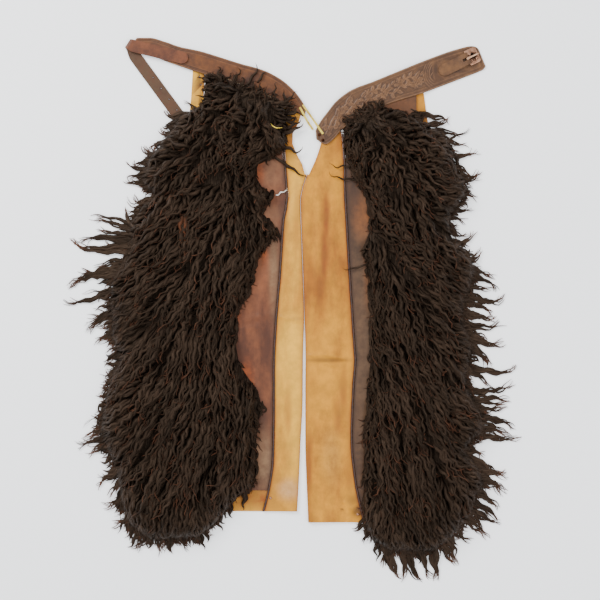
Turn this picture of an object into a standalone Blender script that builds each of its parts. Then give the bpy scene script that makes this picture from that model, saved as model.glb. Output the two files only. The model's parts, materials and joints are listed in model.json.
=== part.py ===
"""Woolly leather chaps laid flat with their front side up.

Lengths in the tables are millimetres: X runs to the right and Y towards the
belt. Every table is a plan of one outline, read from the belt down to the hem
or along the belt from left to right. The model is built in metres, +Z up, and
the whole of it is centred over the origin, with its underside at Z = 0.
"""

import math
from collections import namedtuple

import bmesh
import bpy
from mathutils import Matrix, Vector

MM = 0.001

# Clearances: under a seated piece, and between pieces that lie on or beside each other
PLAY = 0.3
LAYER_GAP = 0.4

# Leather gauges
LEG_GAUGE = 2.2
HIDE_GAUGE = 2.4
BELT_GAUGE = 3.8
STRAP_GAUGE = 3.0

# Layers of a leg that lies flat
FOLD_RADIUS = 2.6
WELT_RADIUS = 2.2
WELT_CLEARANCE = 0.5
SEAM_HALF = WELT_RADIUS + LAYER_GAP
BACK_MID = LEG_GAUGE / 2
FRONT_MID = LEG_GAUGE + LAYER_GAP + LEG_GAUGE / 2
FRONT_TOP = FRONT_MID + LEG_GAUGE / 2
FOLD_MID = BACK_MID + 2 * FOLD_RADIUS
FOLD_RISE_RUN = 45.0
FOLD_RISE_FALL = 1.35
HIDE_MID = LEG_GAUGE + LAYER_GAP + HIDE_GAUGE / 2
HIDE_TOP = HIDE_MID + HIDE_GAUGE / 2
HIDE_OVERHANG = 3.0
HIDE_HIP_START = 130.0
HIDE_HIP_RUN = 60.0
HIDE_CROWN_RUN = 60.0
WELT_MID = LEG_GAUGE + WELT_CLEARANCE + WELT_RADIUS
WELT_TOP = WELT_MID + WELT_RADIUS

# Fleece
FLEECE_SEAT = HIDE_TOP + LAYER_GAP
FLEECE_RIM = 5.0
FLEECE_LOFT = 34.0
FLEECE_ROUND = 62.0
FLEECE_DROOP = 3.6
DROOP_START = 10.0
DROOP_RUN = 30.0
SEAM_RISE_START = 24.0
SEAM_RISE_RUN = 8.0
BELT_SIDE_ROUNDING = 14.0
CLUMP_HEIGHT = 5.0
CLUMP_WIDTH = 58.0
CLUMP_LENGTH = 84.0
CLUMP_SKEW_ACROSS = 0.035
CLUMP_SKEW_ALONG = 0.02

# Edge locks
STRIP_GAP = 0.5
STRIP_WIDTH = 3.0
STRIP_LOW = 5.4
STRIP_HIGH = 9.4
STRIP_HALF_HEIGHT = (STRIP_HIGH - STRIP_LOW) / 2
LOCK_TIP_MID = 2.2
LOCK_TIP_OVER_STRAP = 6.3
LOCK_TIP_HALF = 0.8
LOCK_OVER_STRAP = 0.10
LOCK_OVER_STRAP_RUN = 0.06
LOCK_WAVE = 3.5
LOCK_WAVE_TURN = 5.5
LOCK_LENGTH_PLAY = 0.12
LOCK_SWING = 3.0
LOCK_TAPER = 1.5
LOCK_SEGMENTS = 3

# Belt, strap and buckle
BELT_SEAT = HIDE_TOP + PLAY
BELT_TOP = BELT_SEAT + BELT_GAUGE
LACE_SEAT = BELT_TOP + PLAY
STRAP_UNDER_BELT = STRAP_GAUGE + LAYER_GAP
STRAP_TOP_MID = STRAP_UNDER_BELT + BELT_GAUGE + PLAY + STRAP_GAUGE / 2
STRAP_WIDTH = 25.4
STRAP_HOLE = 4.0
STRAP_HOLES = 4
STRAP_HOLE_PITCH = 28.0
STRAP_TOP_RUN = 127.0
STRAP_LOWER_RUN = 188.0
STRAP_FIRST_HOLE = 84.0
STRAP_FOLD = (-339.0, 559.5)
STRAP_HEADING = 166.3
STRAP_LOWER_HEADING = -53.7
STRAP_CORNER = 5.0
STRAP_CORNER_SHARE = 0.35
STRAP_CORNER_REACH = 13.0
STRAP_BEND = (-30.0, 44.0)
STRAP_UPPER_STEPS = 4
STRAP_BEND_STEPS = 24
STRAP_LOWER_STEPS = 6
STRAP_END_TURNS = (14, 34, 56, 90)
BUCKLE_BAR = (370.0, 531.0)
BUCKLE_HEADING = 26.0
BUCKLE_TILT = 6.0
CHAPE_LENGTH = 66.0
CHAPE_GAUGE = 2.4
CHAPE_END_TURNS = (15, 35, 60, 90)
CHAPE_STATIONS = (-34, -24, -18, -13, -9, -5)
CHAPE_RISE_START = 26.0
CHAPE_RISE_RUN = 24.0
CHAPE_LOOP_TURNS = (0, 22, 45, 65, 84)
CHAPE_SLOT = 11.0
CHAPE_SLOT_HALF = 3.0
CHAPE_SLOT_DEPTH = 6.0
CHAPE_SLOT_OVERSHOOT = 2.0
BAR_RADIUS = 1.5
LOOP_BORE = BAR_RADIUS + PLAY
LOOP_RADIUS = 4.0
FRAME_LENGTH = 23.5
FRAME_HALF = 15.5
FRAME_BAR_CORNER = 2.0
FRAME_FAR_CORNER = 4.0
TONGUE_WIDTH = 4.0
BAR_MID = BELT_GAUGE + PLAY + LOOP_RADIUS
LACE_WIDTH = 4.4
LACE_GAUGE = 1.6
RIVET_DIAMETER = 7.0
RIVET_HEIGHT = 1.8
EYELET = 3.4

FrontRow = namedtuple("FrontRow", "y inner seam")
EdgeRow = namedtuple("EdgeRow", "y x")
BeltRow = namedtuple("BeltRow", "top_x top_y low_x low_y")
FleeceRow = namedtuple("FleeceRow", "outer_x outer_y inner_x inner_y")
LockRow = namedtuple("LockRow", "along reach angle")
SeatRow = namedtuple("SeatRow", "x underside")
LacePoint = namedtuple("LacePoint", "x y underside")
TongueRow = namedtuple("TongueRow", "along half low high")
Rivet = namedtuple("Rivet", "name x y seat")
Leg = namedtuple(
    "Leg",
    "side facing crotch welt_top hide_foot hide_hip hide_crown front outer back_inner fleece locks eyelets",
)

LEFT_LEG = Leg(
    side="left",
    facing=1,
    crotch=288.0,
    welt_top=430.0,
    hide_foot=-374.0,
    hide_hip=(-179.0, 503.0),
    hide_crown=0.0,
    front=[
        FrontRow(440, 18, -27),
        FrontRow(407, 27, -23),
        FrontRow(386, 10.5, -19),
        FrontRow(361, 6, -17),
        FrontRow(336, 13, -15),
        FrontRow(315, 25, -13),
        FrontRow(288, 33, -11),
        FrontRow(262, 24.1, -9),
        FrontRow(232, 19.1, -8),
        FrontRow(200, 20.1, -15),
        FrontRow(84, 24.6, -23),
        FrontRow(-13, 27.6, -31),
        FrontRow(-60, 26, -34),
        FrontRow(-109, 25, -36),
        FrontRow(-185, 24.5, -36),
        FrontRow(-273, 20, -37),
        FrontRow(-311, 18.5, -38),
        FrontRow(-374, 15.5, -47),
        FrontRow(-418, 13, -58),
    ],
    outer=[
        EdgeRow(508, -206),
        EdgeRow(424, -212),
        EdgeRow(319, -237),
        EdgeRow(193, -258),
        EdgeRow(25, -269),
        EdgeRow(-143, -262),
        EdgeRow(-290, -250),
        EdgeRow(-418, -233),
    ],
    back_inner=[
        EdgeRow(508, -181),
        EdgeRow(440, -184),
        EdgeRow(425, -172),
        EdgeRow(405, -140),
        EdgeRow(375, -95),
        EdgeRow(345, -50),
        EdgeRow(320, -15),
        EdgeRow(300, 12),
        EdgeRow(288, 29.3),
    ],
    fleece=[
        FleeceRow(-183, 493, -12, 424),
        FleeceRow(-187, 456, -12, 398),
        FleeceRow(-215, 420, -12, 374),
        FleeceRow(-265, 382, -13, 350),
        FleeceRow(-300, 341, -40, 328),
        FleeceRow(-322, 308, -76, 304),
        FleeceRow(-315, 283, -76, 272),
        FleeceRow(-288, 260, -36, 250),
        FleeceRow(-308, 236, -44, 232),
        FleeceRow(-340, 208, -72, 212),
        FleeceRow(-358, 176, -24, 174),
        FleeceRow(-378, 130, -61, 130),
        FleeceRow(-390, 57, -86, 57),
        FleeceRow(-397, -17, -118, -17),
        FleeceRow(-388, -101, -111, -101),
        FleeceRow(-391, -185, -63, -185),
        FleeceRow(-397, -269, -73, -269),
        FleeceRow(-382, -349, -75, -349),
        FleeceRow(-357, -405, -128, -401),
        FleeceRow(-317, -458, -164, -447),
        FleeceRow(-275, -485, -195, -479),
    ],
    locks=[
        LockRow(0.00, 30, 200),
        LockRow(0.08, 42, 200),
        LockRow(0.17, 46, 203),
        LockRow(0.24, 34, 205),
        LockRow(0.29, 76, 196),
        LockRow(0.34, 88, 193),
        LockRow(0.42, 98, 190),
        LockRow(0.50, 76, 194),
        LockRow(0.56, 40, 196),
        LockRow(0.62, 26, 198),
        LockRow(0.68, 30, 203),
        LockRow(0.74, 50, 208),
        LockRow(0.80, 46, 217),
        LockRow(0.86, 40, 226),
        LockRow(0.92, 66, 238),
        LockRow(0.97, 44, 258),
        LockRow(1.00, 26, 292),
    ],
    eyelets=[(-192, 494), (-189, 477), (-191, 437)],
)

RIGHT_LEG = Leg(
    side="right",
    facing=-1,
    crotch=288.0,
    welt_top=375.0,
    hide_foot=-412.0,
    hide_hip=(263.0, 457.0),
    hide_crown=14.0,
    front=[
        FrontRow(388, 66, 106),
        FrontRow(374, 64, 108),
        FrontRow(349, 58, 111),
        FrontRow(319, 48, 112),
        FrontRow(288, 34, 113),
        FrontRow(262, 25.1, 113),
        FrontRow(232, 20.1, 114),
        FrontRow(200, 21.1, 116),
        FrontRow(84, 25.6, 122.5),
        FrontRow(-13, 28.6, 129),
        FrontRow(-60, 30, 132),
        FrontRow(-101, 30.5, 135),
        FrontRow(-151, 30, 131),
        FrontRow(-269, 30, 127),
        FrontRow(-368, 33, 137),
        FrontRow(-412, 35, 147),
        FrontRow(-441, 36, 153),
    ],
    outer=[
        EdgeRow(470, 277),
        EdgeRow(393, 288),
        EdgeRow(298, 305),
        EdgeRow(172, 321),
        EdgeRow(25, 328),
        EdgeRow(-143, 323),
        EdgeRow(-290, 313),
        EdgeRow(-441, 296),
    ],
    back_inner=[
        EdgeRow(470, 252),
        EdgeRow(402, 262),
        EdgeRow(388, 252),
        EdgeRow(370, 220),
        EdgeRow(350, 175),
        EdgeRow(330, 130),
        EdgeRow(310, 85),
        EdgeRow(298, 60),
        EdgeRow(288, 42.2),
    ],
    fleece=[
        FleeceRow(236, 430, 126, 385),
        FleeceRow(296, 399, 113, 355),
        FleeceRow(351, 340, 122, 319),
        FleeceRow(372, 273, 141, 273),
        FleeceRow(362, 222, 166, 226),
        FleeceRow(346, 172, 168, 166),
        FleeceRow(348, 140, 147, 134),
        FleeceRow(360, 98, 164, 96),
        FleeceRow(389, 25, 167, 25),
        FleeceRow(391, -48, 169, -48),
        FleeceRow(405, -143, 164, -143),
        FleeceRow(418, -210, 158, -214),
        FleeceRow(401, -286, 154, -290),
        FleeceRow(402, -357, 155, -363),
        FleeceRow(380, -426, 156, -426),
        FleeceRow(355, -481, 174, -483),
        FleeceRow(326, -521, 214, -521),
    ],
    locks=[
        LockRow(0.00, 26, -30),
        LockRow(0.10, 34, -24),
        LockRow(0.18, 42, -18),
        LockRow(0.26, 44, -20),
        LockRow(0.34, 62, -22),
        LockRow(0.40, 74, -24),
        LockRow(0.47, 66, -22),
        LockRow(0.55, 64, -20),
        LockRow(0.62, 66, -22),
        LockRow(0.68, 60, -26),
        LockRow(0.76, 48, -32),
        LockRow(0.84, 62, -40),
        LockRow(0.90, 58, -52),
        LockRow(0.95, 50, -66),
        LockRow(0.98, 48, -84),
        LockRow(1.00, 30, -112),
    ],
    eyelets=[],
)

LEFT_BELT = [
    BeltRow(-323, 575, -338, 556),
    BeltRow(-296, 575, -302, 546),
    BeltRow(-265, 567, -271, 529),
    BeltRow(-233, 556, -241, 518),
    BeltRow(-191, 547, -206, 506),
    BeltRow(-145, 533, -166, 493),
    BeltRow(-107, 521, -132, 479),
    BeltRow(-61, 508, -92, 464),
    BeltRow(-23, 489, -55, 451),
    BeltRow(8, 462, -17, 430),
    BeltRow(26, 437, 14, 416),
    BeltRow(32, 424, 28, 408),
]

RIGHT_BELT = [
    BeltRow(51.5, 381, 53, 362),
    BeltRow(62, 400, 72, 351),
    BeltRow(77, 420, 89, 362),
    BeltRow(94, 441, 106, 381),
    BeltRow(128, 466, 141, 405),
    BeltRow(172, 483, 178, 425),
    BeltRow(216, 501, 220, 441),
    BeltRow(260, 519, 271, 457),
    BeltRow(313, 540, 321, 476),
    BeltRow(350, 552, 363, 492),
    BeltRow(379, 558, 396, 505),
    BeltRow(388, 556.5, 404, 509),
    BeltRow(394, 551, 408.5, 516),
]

BELT_LEFT_SEAT = [
    SeatRow(-345, STRAP_UNDER_BELT),
    SeatRow(-300, STRAP_UNDER_BELT),
    SeatRow(-218, BELT_SEAT),
    SeatRow(40, BELT_SEAT),
]

BELT_RIGHT_SEAT = [
    SeatRow(50, BELT_SEAT),
    SeatRow(266, BELT_SEAT),
    SeatRow(279, 3.2),
    SeatRow(304, 0.0),
    SeatRow(410, 0.0),
]

UPPER_LACE = [
    LacePoint(25, 434, LACE_SEAT),
    LacePoint(34, 421, LACE_SEAT),
    LacePoint(43, 408, LACE_SEAT - 1.0),
    LacePoint(52, 395, LACE_SEAT),
    LacePoint(60, 383, LACE_SEAT),
    LacePoint(67, 373, LACE_SEAT),
]

LOWER_LACE = [
    LacePoint(18, 429, LACE_SEAT),
    LacePoint(24, 419, LACE_SEAT),
    LacePoint(31, 405, LACE_SEAT),
    LacePoint(36, 397, 6.0),
    LacePoint(41, 390, 2.6),
    LacePoint(46, 383, 0.8),
]

TONGUE = [
    TongueRow(-3.2, TONGUE_WIDTH / 2, -0.6, 0.6),
    TongueRow(-2.6, TONGUE_WIDTH / 2, -1.9, 1.9),
    TongueRow(-1.4, TONGUE_WIDTH / 2, -2.9, 2.9),
    TongueRow(0.0, TONGUE_WIDTH / 2, -3.2, 3.2),
    TongueRow(1.6, TONGUE_WIDTH / 2, -2.7, 3.2),
    TongueRow(3.0, TONGUE_WIDTH / 2, -1.2, 3.1),
    TongueRow(9.0, 1.7, 0.2, 2.7),
    TongueRow(16.0, 1.5, 1.3, 3.3),
    TongueRow(21.0, 1.4, 1.9, 3.7),
    TongueRow(26.0, 1.0, 1.9, 3.1),
]

RIVETS = [
    Rivet("rivet_nose_upper", 59.5, 371.0, BELT_TOP),
    Rivet("rivet_nose_lower", 67.0, 360.0, BELT_TOP),
    Rivet("rivet_hem_left", -43.0, -390.0, FRONT_TOP),
    Rivet("rivet_hem_right", 140.0, -424.0, FRONT_TOP),
]

FRONT_COLUMNS = 4
BACK_COLUMNS = 4
BACK_UPPER_ROWS = 12
HIDE_COLUMNS = 3
BELT_COLUMNS = 4
BELT_ROWS_EACH = 3
STRAP_COLUMNS = 4
FOLD_STEPS = 5
UPPER_ROWS = 7
LOWER_ROWS = 30
FLEECE_ROWS = 40
FLEECE_COLUMNS = 13


def lerp(a, b, t):
    """Return the value at share t of the way from a to b."""
    return a + (b - a) * t


def clamp(value, low=0.0, high=1.0):
    """Return the value held between low and high."""
    return max(low, min(high, value))


def ease(t):
    """Return t eased at both ends, held between 0 and 1."""
    t = clamp(t)
    return t * t * (3 - 2 * t)


def steps(low, high, count):
    """Return count + 1 evenly spaced values from low to high."""
    return [lerp(low, high, i / count) for i in range(count + 1)]


def through(points):
    """Return a smooth function through (key, value) pairs with no overshoot."""
    points = sorted(points)
    keys = [p[0] for p in points]
    values = [p[1] for p in points]
    last = len(keys) - 1
    rises = [(values[i + 1] - values[i]) / (keys[i + 1] - keys[i]) for i in range(last)]
    slopes = [rises[0]]
    for before, after in zip(rises, rises[1:]):
        slopes.append(0.0 if before * after <= 0 else 2 * before * after / (before + after))
    slopes.append(rises[-1])

    def value_at(key):
        key = clamp(key, keys[0], keys[-1])
        i = next((n for n in range(last) if key <= keys[n + 1]), last - 1)
        width = keys[i + 1] - keys[i]
        t = (key - keys[i]) / width
        bend = t * t * (3 - 2 * t)
        lead = t * (1 - t) ** 2 * width * slopes[i]
        tail = t * t * (t - 1) * width * slopes[i + 1]
        return values[i] * (1 - bend) + values[i + 1] * bend + lead + tail

    return value_at


def resampled(rows, count):
    """Return count + 1 rows on smooth curves through a table, evenly along its first edge."""
    along = [0.0]
    for before, after in zip(rows, rows[1:]):
        along.append(along[-1] + math.hypot(after[0] - before[0], after[1] - before[1]))
    columns = [through(list(zip(along, column))) for column in zip(*rows)]
    kind = type(rows[0])
    return [kind(*(column(s) for column in columns)) for s in steps(0.0, along[-1], count)]


def material(name, colour, roughness, metallic=0.0):
    """Return a plain Principled material."""
    finish = bpy.data.materials.new(name)
    finish.use_nodes = True
    shader = finish.node_tree.nodes["Principled BSDF"]
    shader.inputs["Base Color"].default_value = (*colour, 1.0)
    shader.inputs["Roughness"].default_value = roughness
    shader.inputs["Metallic"].default_value = metallic
    return finish


def vertex(bm, x, y, z):
    """Add a vertex given in millimetres."""
    return bm.verts.new((x * MM, y * MM, z * MM))


def skin(bm, rows, closed=False):
    """Span quads between rows of vertices; closed joins each row's ends."""
    for low, high in zip(rows, rows[1:]):
        count = len(low)
        for i in range(count if closed else count - 1):
            j = (i + 1) % count
            bm.faces.new((low[i], low[j], high[j], high[i]))


def tube(bm, rings):
    """Close a run of vertex rings into one capped solid."""
    skin(bm, rings, closed=True)
    bm.faces.new(rings[0])
    bm.faces.new(rings[-1])


def finished(bm, name, finish, layout, smooth=False):
    """Turn a bmesh into a named object under the layout empty."""
    bmesh.ops.recalc_face_normals(bm, faces=bm.faces[:])
    mesh = bpy.data.meshes.new(name)
    bm.to_mesh(mesh)
    bm.free()
    mesh.materials.append(finish)
    if smooth:
        mesh.shade_smooth()
        mesh.set_sharp_from_angle(angle=math.radians(40))
    piece = bpy.data.objects.new(name, mesh)
    bpy.context.scene.collection.objects.link(piece)
    piece.parent = layout
    return piece


def solidify(piece, gauge):
    """Give a sheet its leather gauge, half to each side."""
    wall = piece.modifiers.new("Gauge", "SOLIDIFY")
    wall.thickness = gauge * MM
    wall.offset = 0.0
    wall.use_even_offset = True


def punch(piece, cutter_bm, layout):
    """Cut a bmesh of closed cutters out of a piece."""
    cutter = finished(cutter_bm, piece.name + "_cutter", piece.data.materials[0], layout)
    cutter.matrix_basis = piece.matrix_basis
    cutter.hide_render = True
    cutter.display_type = "WIRE"
    cut = piece.modifiers.new("Punch", "BOOLEAN")
    cut.operation = "DIFFERENCE"
    cut.object = cutter


def peg(bm, x, y, z, radius, length, turn=None, segments=12):
    """Add a cylinder centred on a point, along Z unless it is turned."""
    place = Matrix.Translation(Vector((x, y, z)) * MM)
    if turn is not None:
        place = place @ turn
    bmesh.ops.create_cone(
        bm,
        cap_ends=True,
        segments=segments,
        radius1=radius * MM,
        radius2=radius * MM,
        depth=length * MM,
        matrix=place,
    )


def front_heights(leg):
    """Return the heights of the front's rows, from the belt to the hem."""
    upper = steps(leg.front[0].y, leg.crotch, UPPER_ROWS)
    lower = steps(leg.crotch, leg.front[-1].y, LOWER_ROWS)
    return upper + lower[1:]


def leg_sheet(leg, finish, layout):
    """Make the back panel, the inner fold and the tan front as one sheet."""
    inner = through([(row.y, row.inner) for row in leg.front])
    seam = through([(row.y, row.seam) for row in leg.front])
    outer = through(leg.outer)
    back_inner = through(leg.back_inner)
    reach = FOLD_RADIUS + LEG_GAUGE / 2
    bm = bmesh.new()

    def fold_centre(y):
        return inner(y) - leg.facing * reach

    def front_row(y):
        rise = ease(1 - (y - leg.crotch) / FOLD_RISE_RUN)
        start = fold_centre(y)
        end = seam(y) + leg.facing * SEAM_HALF
        row = []
        for s in steps(0.0, 1.0, FRONT_COLUMNS):
            lift = (FOLD_MID - FRONT_MID) * rise * ease(1 - s * FOLD_RISE_FALL)
            row.append(vertex(bm, lerp(start, end, s), y, FRONT_MID + lift))
        return row

    def back_row(y, edge):
        return [vertex(bm, lerp(outer(y), edge, s), y, BACK_MID) for s in steps(0.0, 1.0, BACK_COLUMNS)]

    def fold_row(y):
        row = []
        for turn in steps(-90, 90, FOLD_STEPS)[1:-1]:
            angle = math.radians(turn)
            x = fold_centre(y) + leg.facing * FOLD_RADIUS * math.cos(angle)
            row.append(vertex(bm, x, y, BACK_MID + FOLD_RADIUS * (1 + math.sin(angle))))
        return row

    heights = front_heights(leg)
    lower = [back_row(y, fold_centre(y)) + fold_row(y) + front_row(y) for y in heights[UPPER_ROWS:]]
    skin(bm, lower)
    front = [front_row(y) for y in heights[:UPPER_ROWS]] + [lower[0][-(FRONT_COLUMNS + 1):]]
    skin(bm, front)
    back_heights = steps(leg.outer[0].y, leg.crotch, BACK_UPPER_ROWS)[:-1]
    back = [back_row(y, back_inner(y)) for y in back_heights] + [lower[0][: BACK_COLUMNS + 1]]
    skin(bm, back)
    piece = finished(bm, "leg_" + leg.side, finish, layout)
    solidify(piece, LEG_GAUGE)
    if leg.eyelets:
        holes = bmesh.new()
        for x, y in leg.eyelets:
            peg(holes, x, y, BACK_MID, EYELET / 2, LEG_GAUGE * 2, segments=8)
        punch(piece, holes, layout)
    return piece


def hide_panel(leg, finish, layout):
    """Make the hide panel that carries the wool, from the seam to the outer edge."""
    seam = through([(row.y, row.seam) for row in leg.front])
    outer = through(leg.outer)
    hip_x, hip_y = leg.hide_hip
    seam_side = [y for y in front_heights(leg) if y > leg.hide_foot] + [leg.hide_foot]
    outer_side = steps(hip_y, leg.hide_foot, len(seam_side) - 1)
    bm = bmesh.new()
    rows = []
    for seam_y, outer_y in zip(seam_side, outer_side):
        start = seam(seam_y) - leg.facing * SEAM_HALF
        hip = ease((outer_y - hip_y + HIDE_HIP_START) / HIDE_HIP_RUN)
        end = lerp(outer(outer_y) + leg.facing * HIDE_OVERHANG, hip_x, hip)
        crown = leg.hide_crown * ease((seam_y - leg.crotch) / HIDE_CROWN_RUN)
        row = []
        for s in steps(0.0, 1.0, HIDE_COLUMNS):
            y = lerp(seam_y, outer_y, s) + 4 * crown * s * (1 - s)
            row.append(vertex(bm, lerp(start, end, s), y, HIDE_MID))
        rows.append(row)
    skin(bm, rows)
    piece = finished(bm, "hide_" + leg.side, finish, layout)
    solidify(piece, HIDE_GAUGE)
    return piece


def welt(leg, finish, layout):
    """Make the piping that covers the seam between the tan front and the hide."""
    seam = through([(row.y, row.seam) for row in leg.front])
    heights = [y for y in front_heights(leg) if y < leg.welt_top]
    bm = bmesh.new()
    rings = []
    for y in heights:
        ring = []
        for corner in range(6):
            angle = math.radians(60 * corner)
            x = seam(y) + WELT_RADIUS * math.cos(angle)
            ring.append(vertex(bm, x, y, WELT_MID + WELT_RADIUS * math.sin(angle)))
        rings.append(ring)
    tube(bm, rings)
    return finished(bm, "welt_" + leg.side, finish, layout, smooth=True)


def fleece(leg, finish, layout):
    """Make the fleece as one puffy solid that droops past the leather's outer edge."""
    seam = through([(row.y, row.seam) for row in leg.front])
    outer = through(leg.outer)
    rows = resampled(leg.fleece, FLEECE_ROWS)
    bm = bmesh.new()
    tops = []
    bottoms = []
    for n, row in enumerate(rows):
        start = Vector((row.outer_x, row.outer_y))
        end = Vector((row.inner_x, row.inner_y))
        width = (end - start).length
        from_top = math.hypot(row.outer_x - rows[0].outer_x, row.outer_y - rows[0].outer_y)
        from_foot = math.hypot(row.outer_x - rows[-1].outer_x, row.outer_y - rows[-1].outer_y)
        top = []
        bottom = []
        for s in steps(0.0, 1.0, FLEECE_COLUMNS):
            place = start.lerp(end, s)
            past_seam = leg.facing * (place.x - seam(place.y)) + SEAM_RISE_START
            past_edge = leg.facing * (outer(place.y) - place.x) - DROOP_START
            seat = lerp(FLEECE_SEAT, WELT_TOP + WELT_CLEARANCE, ease(past_seam / SEAM_RISE_RUN))
            seat = lerp(seat, FLEECE_DROOP, ease(past_edge / DROOP_RUN))
            inset = min(s * width, (1 - s) * width, from_top + BELT_SIDE_ROUNDING, from_foot)
            swell = math.sqrt(1 - (1 - clamp(inset / FLEECE_ROUND)) ** 2)
            clump = math.sin(2 * math.pi * place.x / CLUMP_WIDTH + CLUMP_SKEW_ACROSS * place.y)
            clump *= math.sin(2 * math.pi * place.y / CLUMP_LENGTH + CLUMP_SKEW_ALONG * place.x)
            height = FLEECE_RIM + (FLEECE_LOFT - FLEECE_RIM) * swell + CLUMP_HEIGHT * clump * swell
            top.append(vertex(bm, place.x, place.y, seat + height))
            bottom.append(vertex(bm, place.x, place.y, seat))
        tops.append(top)
        bottoms.append(bottom)
    skin(bm, tops)
    skin(bm, bottoms)
    skin(bm, [tops[0], bottoms[0]])
    skin(bm, [tops[-1], bottoms[-1]])
    skin(bm, [[row[0] for row in tops], [row[0] for row in bottoms]])
    skin(bm, [[row[-1] for row in tops], [row[-1] for row in bottoms]])
    return finished(bm, "fleece_" + leg.side, finish, layout, smooth=True)


def fleece_edge(leg):
    """Return the fleece's outer and lower edge as plan points, from the belt round the foot."""
    rows = resampled(leg.fleece, FLEECE_ROWS)
    edge = [Vector((row.outer_x, row.outer_y)) for row in rows]
    corner = Vector((rows[-1].inner_x, rows[-1].inner_y))
    edge += [edge[-1].lerp(corner, s) for s in (0.35, 0.7, 1.0)]
    halves = []
    for before, after in zip(edge, edge[1:]):
        halves += [before, before.lerp(after, 0.5)]
    return halves + [edge[-1]]


def edge_locks(leg, finish, layout):
    """Make the long locks of the fleece's edge, rooted in one narrow strip."""
    edge = fleece_edge(leg)
    reach = through([(row.along, row.reach) for row in leg.locks])
    angle = through([(row.along, row.angle) for row in leg.locks])
    last = len(edge) - 1
    bm = bmesh.new()
    rings = []
    for n, point in enumerate(edge):
        ahead = (edge[min(n + 1, last)] - edge[min(n, last - 1)]).normalized()
        behind = (edge[max(n, 1)] - edge[max(n - 1, 0)]).normalized()
        along = (ahead + behind).normalized()
        outward = Vector((along.y, -along.x)) * leg.facing / along.dot(ahead)
        near = point + outward * STRIP_GAP
        far = point + outward * (STRIP_GAP + STRIP_WIDTH)
        rings.append([
            vertex(bm, near.x, near.y, STRIP_LOW),
            vertex(bm, far.x, far.y, STRIP_LOW),
            vertex(bm, far.x, far.y, STRIP_HIGH),
            vertex(bm, near.x, near.y, STRIP_HIGH),
        ])
    for n, (low, high) in enumerate(zip(rings, rings[1:])):
        share = n / last
        for i, j in ((0, 1), (1, 2), (2, 3), (3, 0)):
            if i == 1 and n % 2 == 0:
                length = reach(share) * (1 - LOCK_LENGTH_PLAY * (1 - math.cos(2.4 * n)))
                past_strap = ease((share - LOCK_OVER_STRAP) / LOCK_OVER_STRAP_RUN)
                tip = lerp(LOCK_TIP_OVER_STRAP, LOCK_TIP_MID, past_strap)
                grow_lock(bm, (low[1], low[2], high[2], high[1]), length, angle(share), tip, n)
            else:
                bm.faces.new((low[i], low[j], high[j], high[i]))
    bm.faces.new(rings[0])
    bm.faces.new(rings[-1])
    return finished(bm, "locks_" + leg.side, finish, layout)


def grow_lock(bm, root, length, heading, tip, number):
    """Grow one tapering, waving, four-sided lock out of an opening in the strip."""
    turn = math.radians(heading + LOCK_SWING * math.sin(1.7 * number))
    ahead = Vector((math.cos(turn), math.sin(turn)))
    aside = Vector((-ahead.y, ahead.x))
    start = sum((corner.co for corner in root), Vector()) / 4 / MM
    span = (root[3].co - root[0].co).xy / MM
    half_root = abs(span.dot(aside)) / 2
    if span.dot(aside) < 0:
        aside = -aside
    ring = root
    for share in steps(0.0, 1.0, LOCK_SEGMENTS)[1:]:
        wave = LOCK_WAVE * share * math.sin(LOCK_WAVE_TURN * share + number)
        centre = start.xy + ahead * length * share + aside * wave
        half_width = lerp(half_root, LOCK_TIP_HALF, share ** LOCK_TAPER)
        half_height = lerp(STRIP_HALF_HEIGHT, LOCK_TIP_HALF, share)
        middle = lerp(start.z, tip, share)
        grown = []
        for across, up in ((-1, -1), (-1, 1), (1, 1), (1, -1)):
            place = centre + aside * half_width * across
            grown.append(vertex(bm, place.x, place.y, middle + half_height * up))
        skin(bm, [ring, grown], closed=True)
        ring = grown
    bm.faces.new(ring)


def belt_half(name, table, seats, finish, layout):
    """Make one shaped belt half as a leather band over a smooth outline."""
    seat = through(seats)
    count = (len(table) - 1) * BELT_ROWS_EACH
    bm = bmesh.new()
    rows = []
    for row in resampled(table, count):
        line = []
        for s in steps(0.0, 1.0, BELT_COLUMNS):
            x = lerp(row.low_x, row.top_x, s)
            y = lerp(row.low_y, row.top_y, s)
            line.append(vertex(bm, x, y, seat(x) + BELT_GAUGE / 2))
        rows.append(line)
    skin(bm, rows)
    piece = finished(bm, name, finish, layout)
    solidify(piece, BELT_GAUGE)
    return piece


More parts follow.
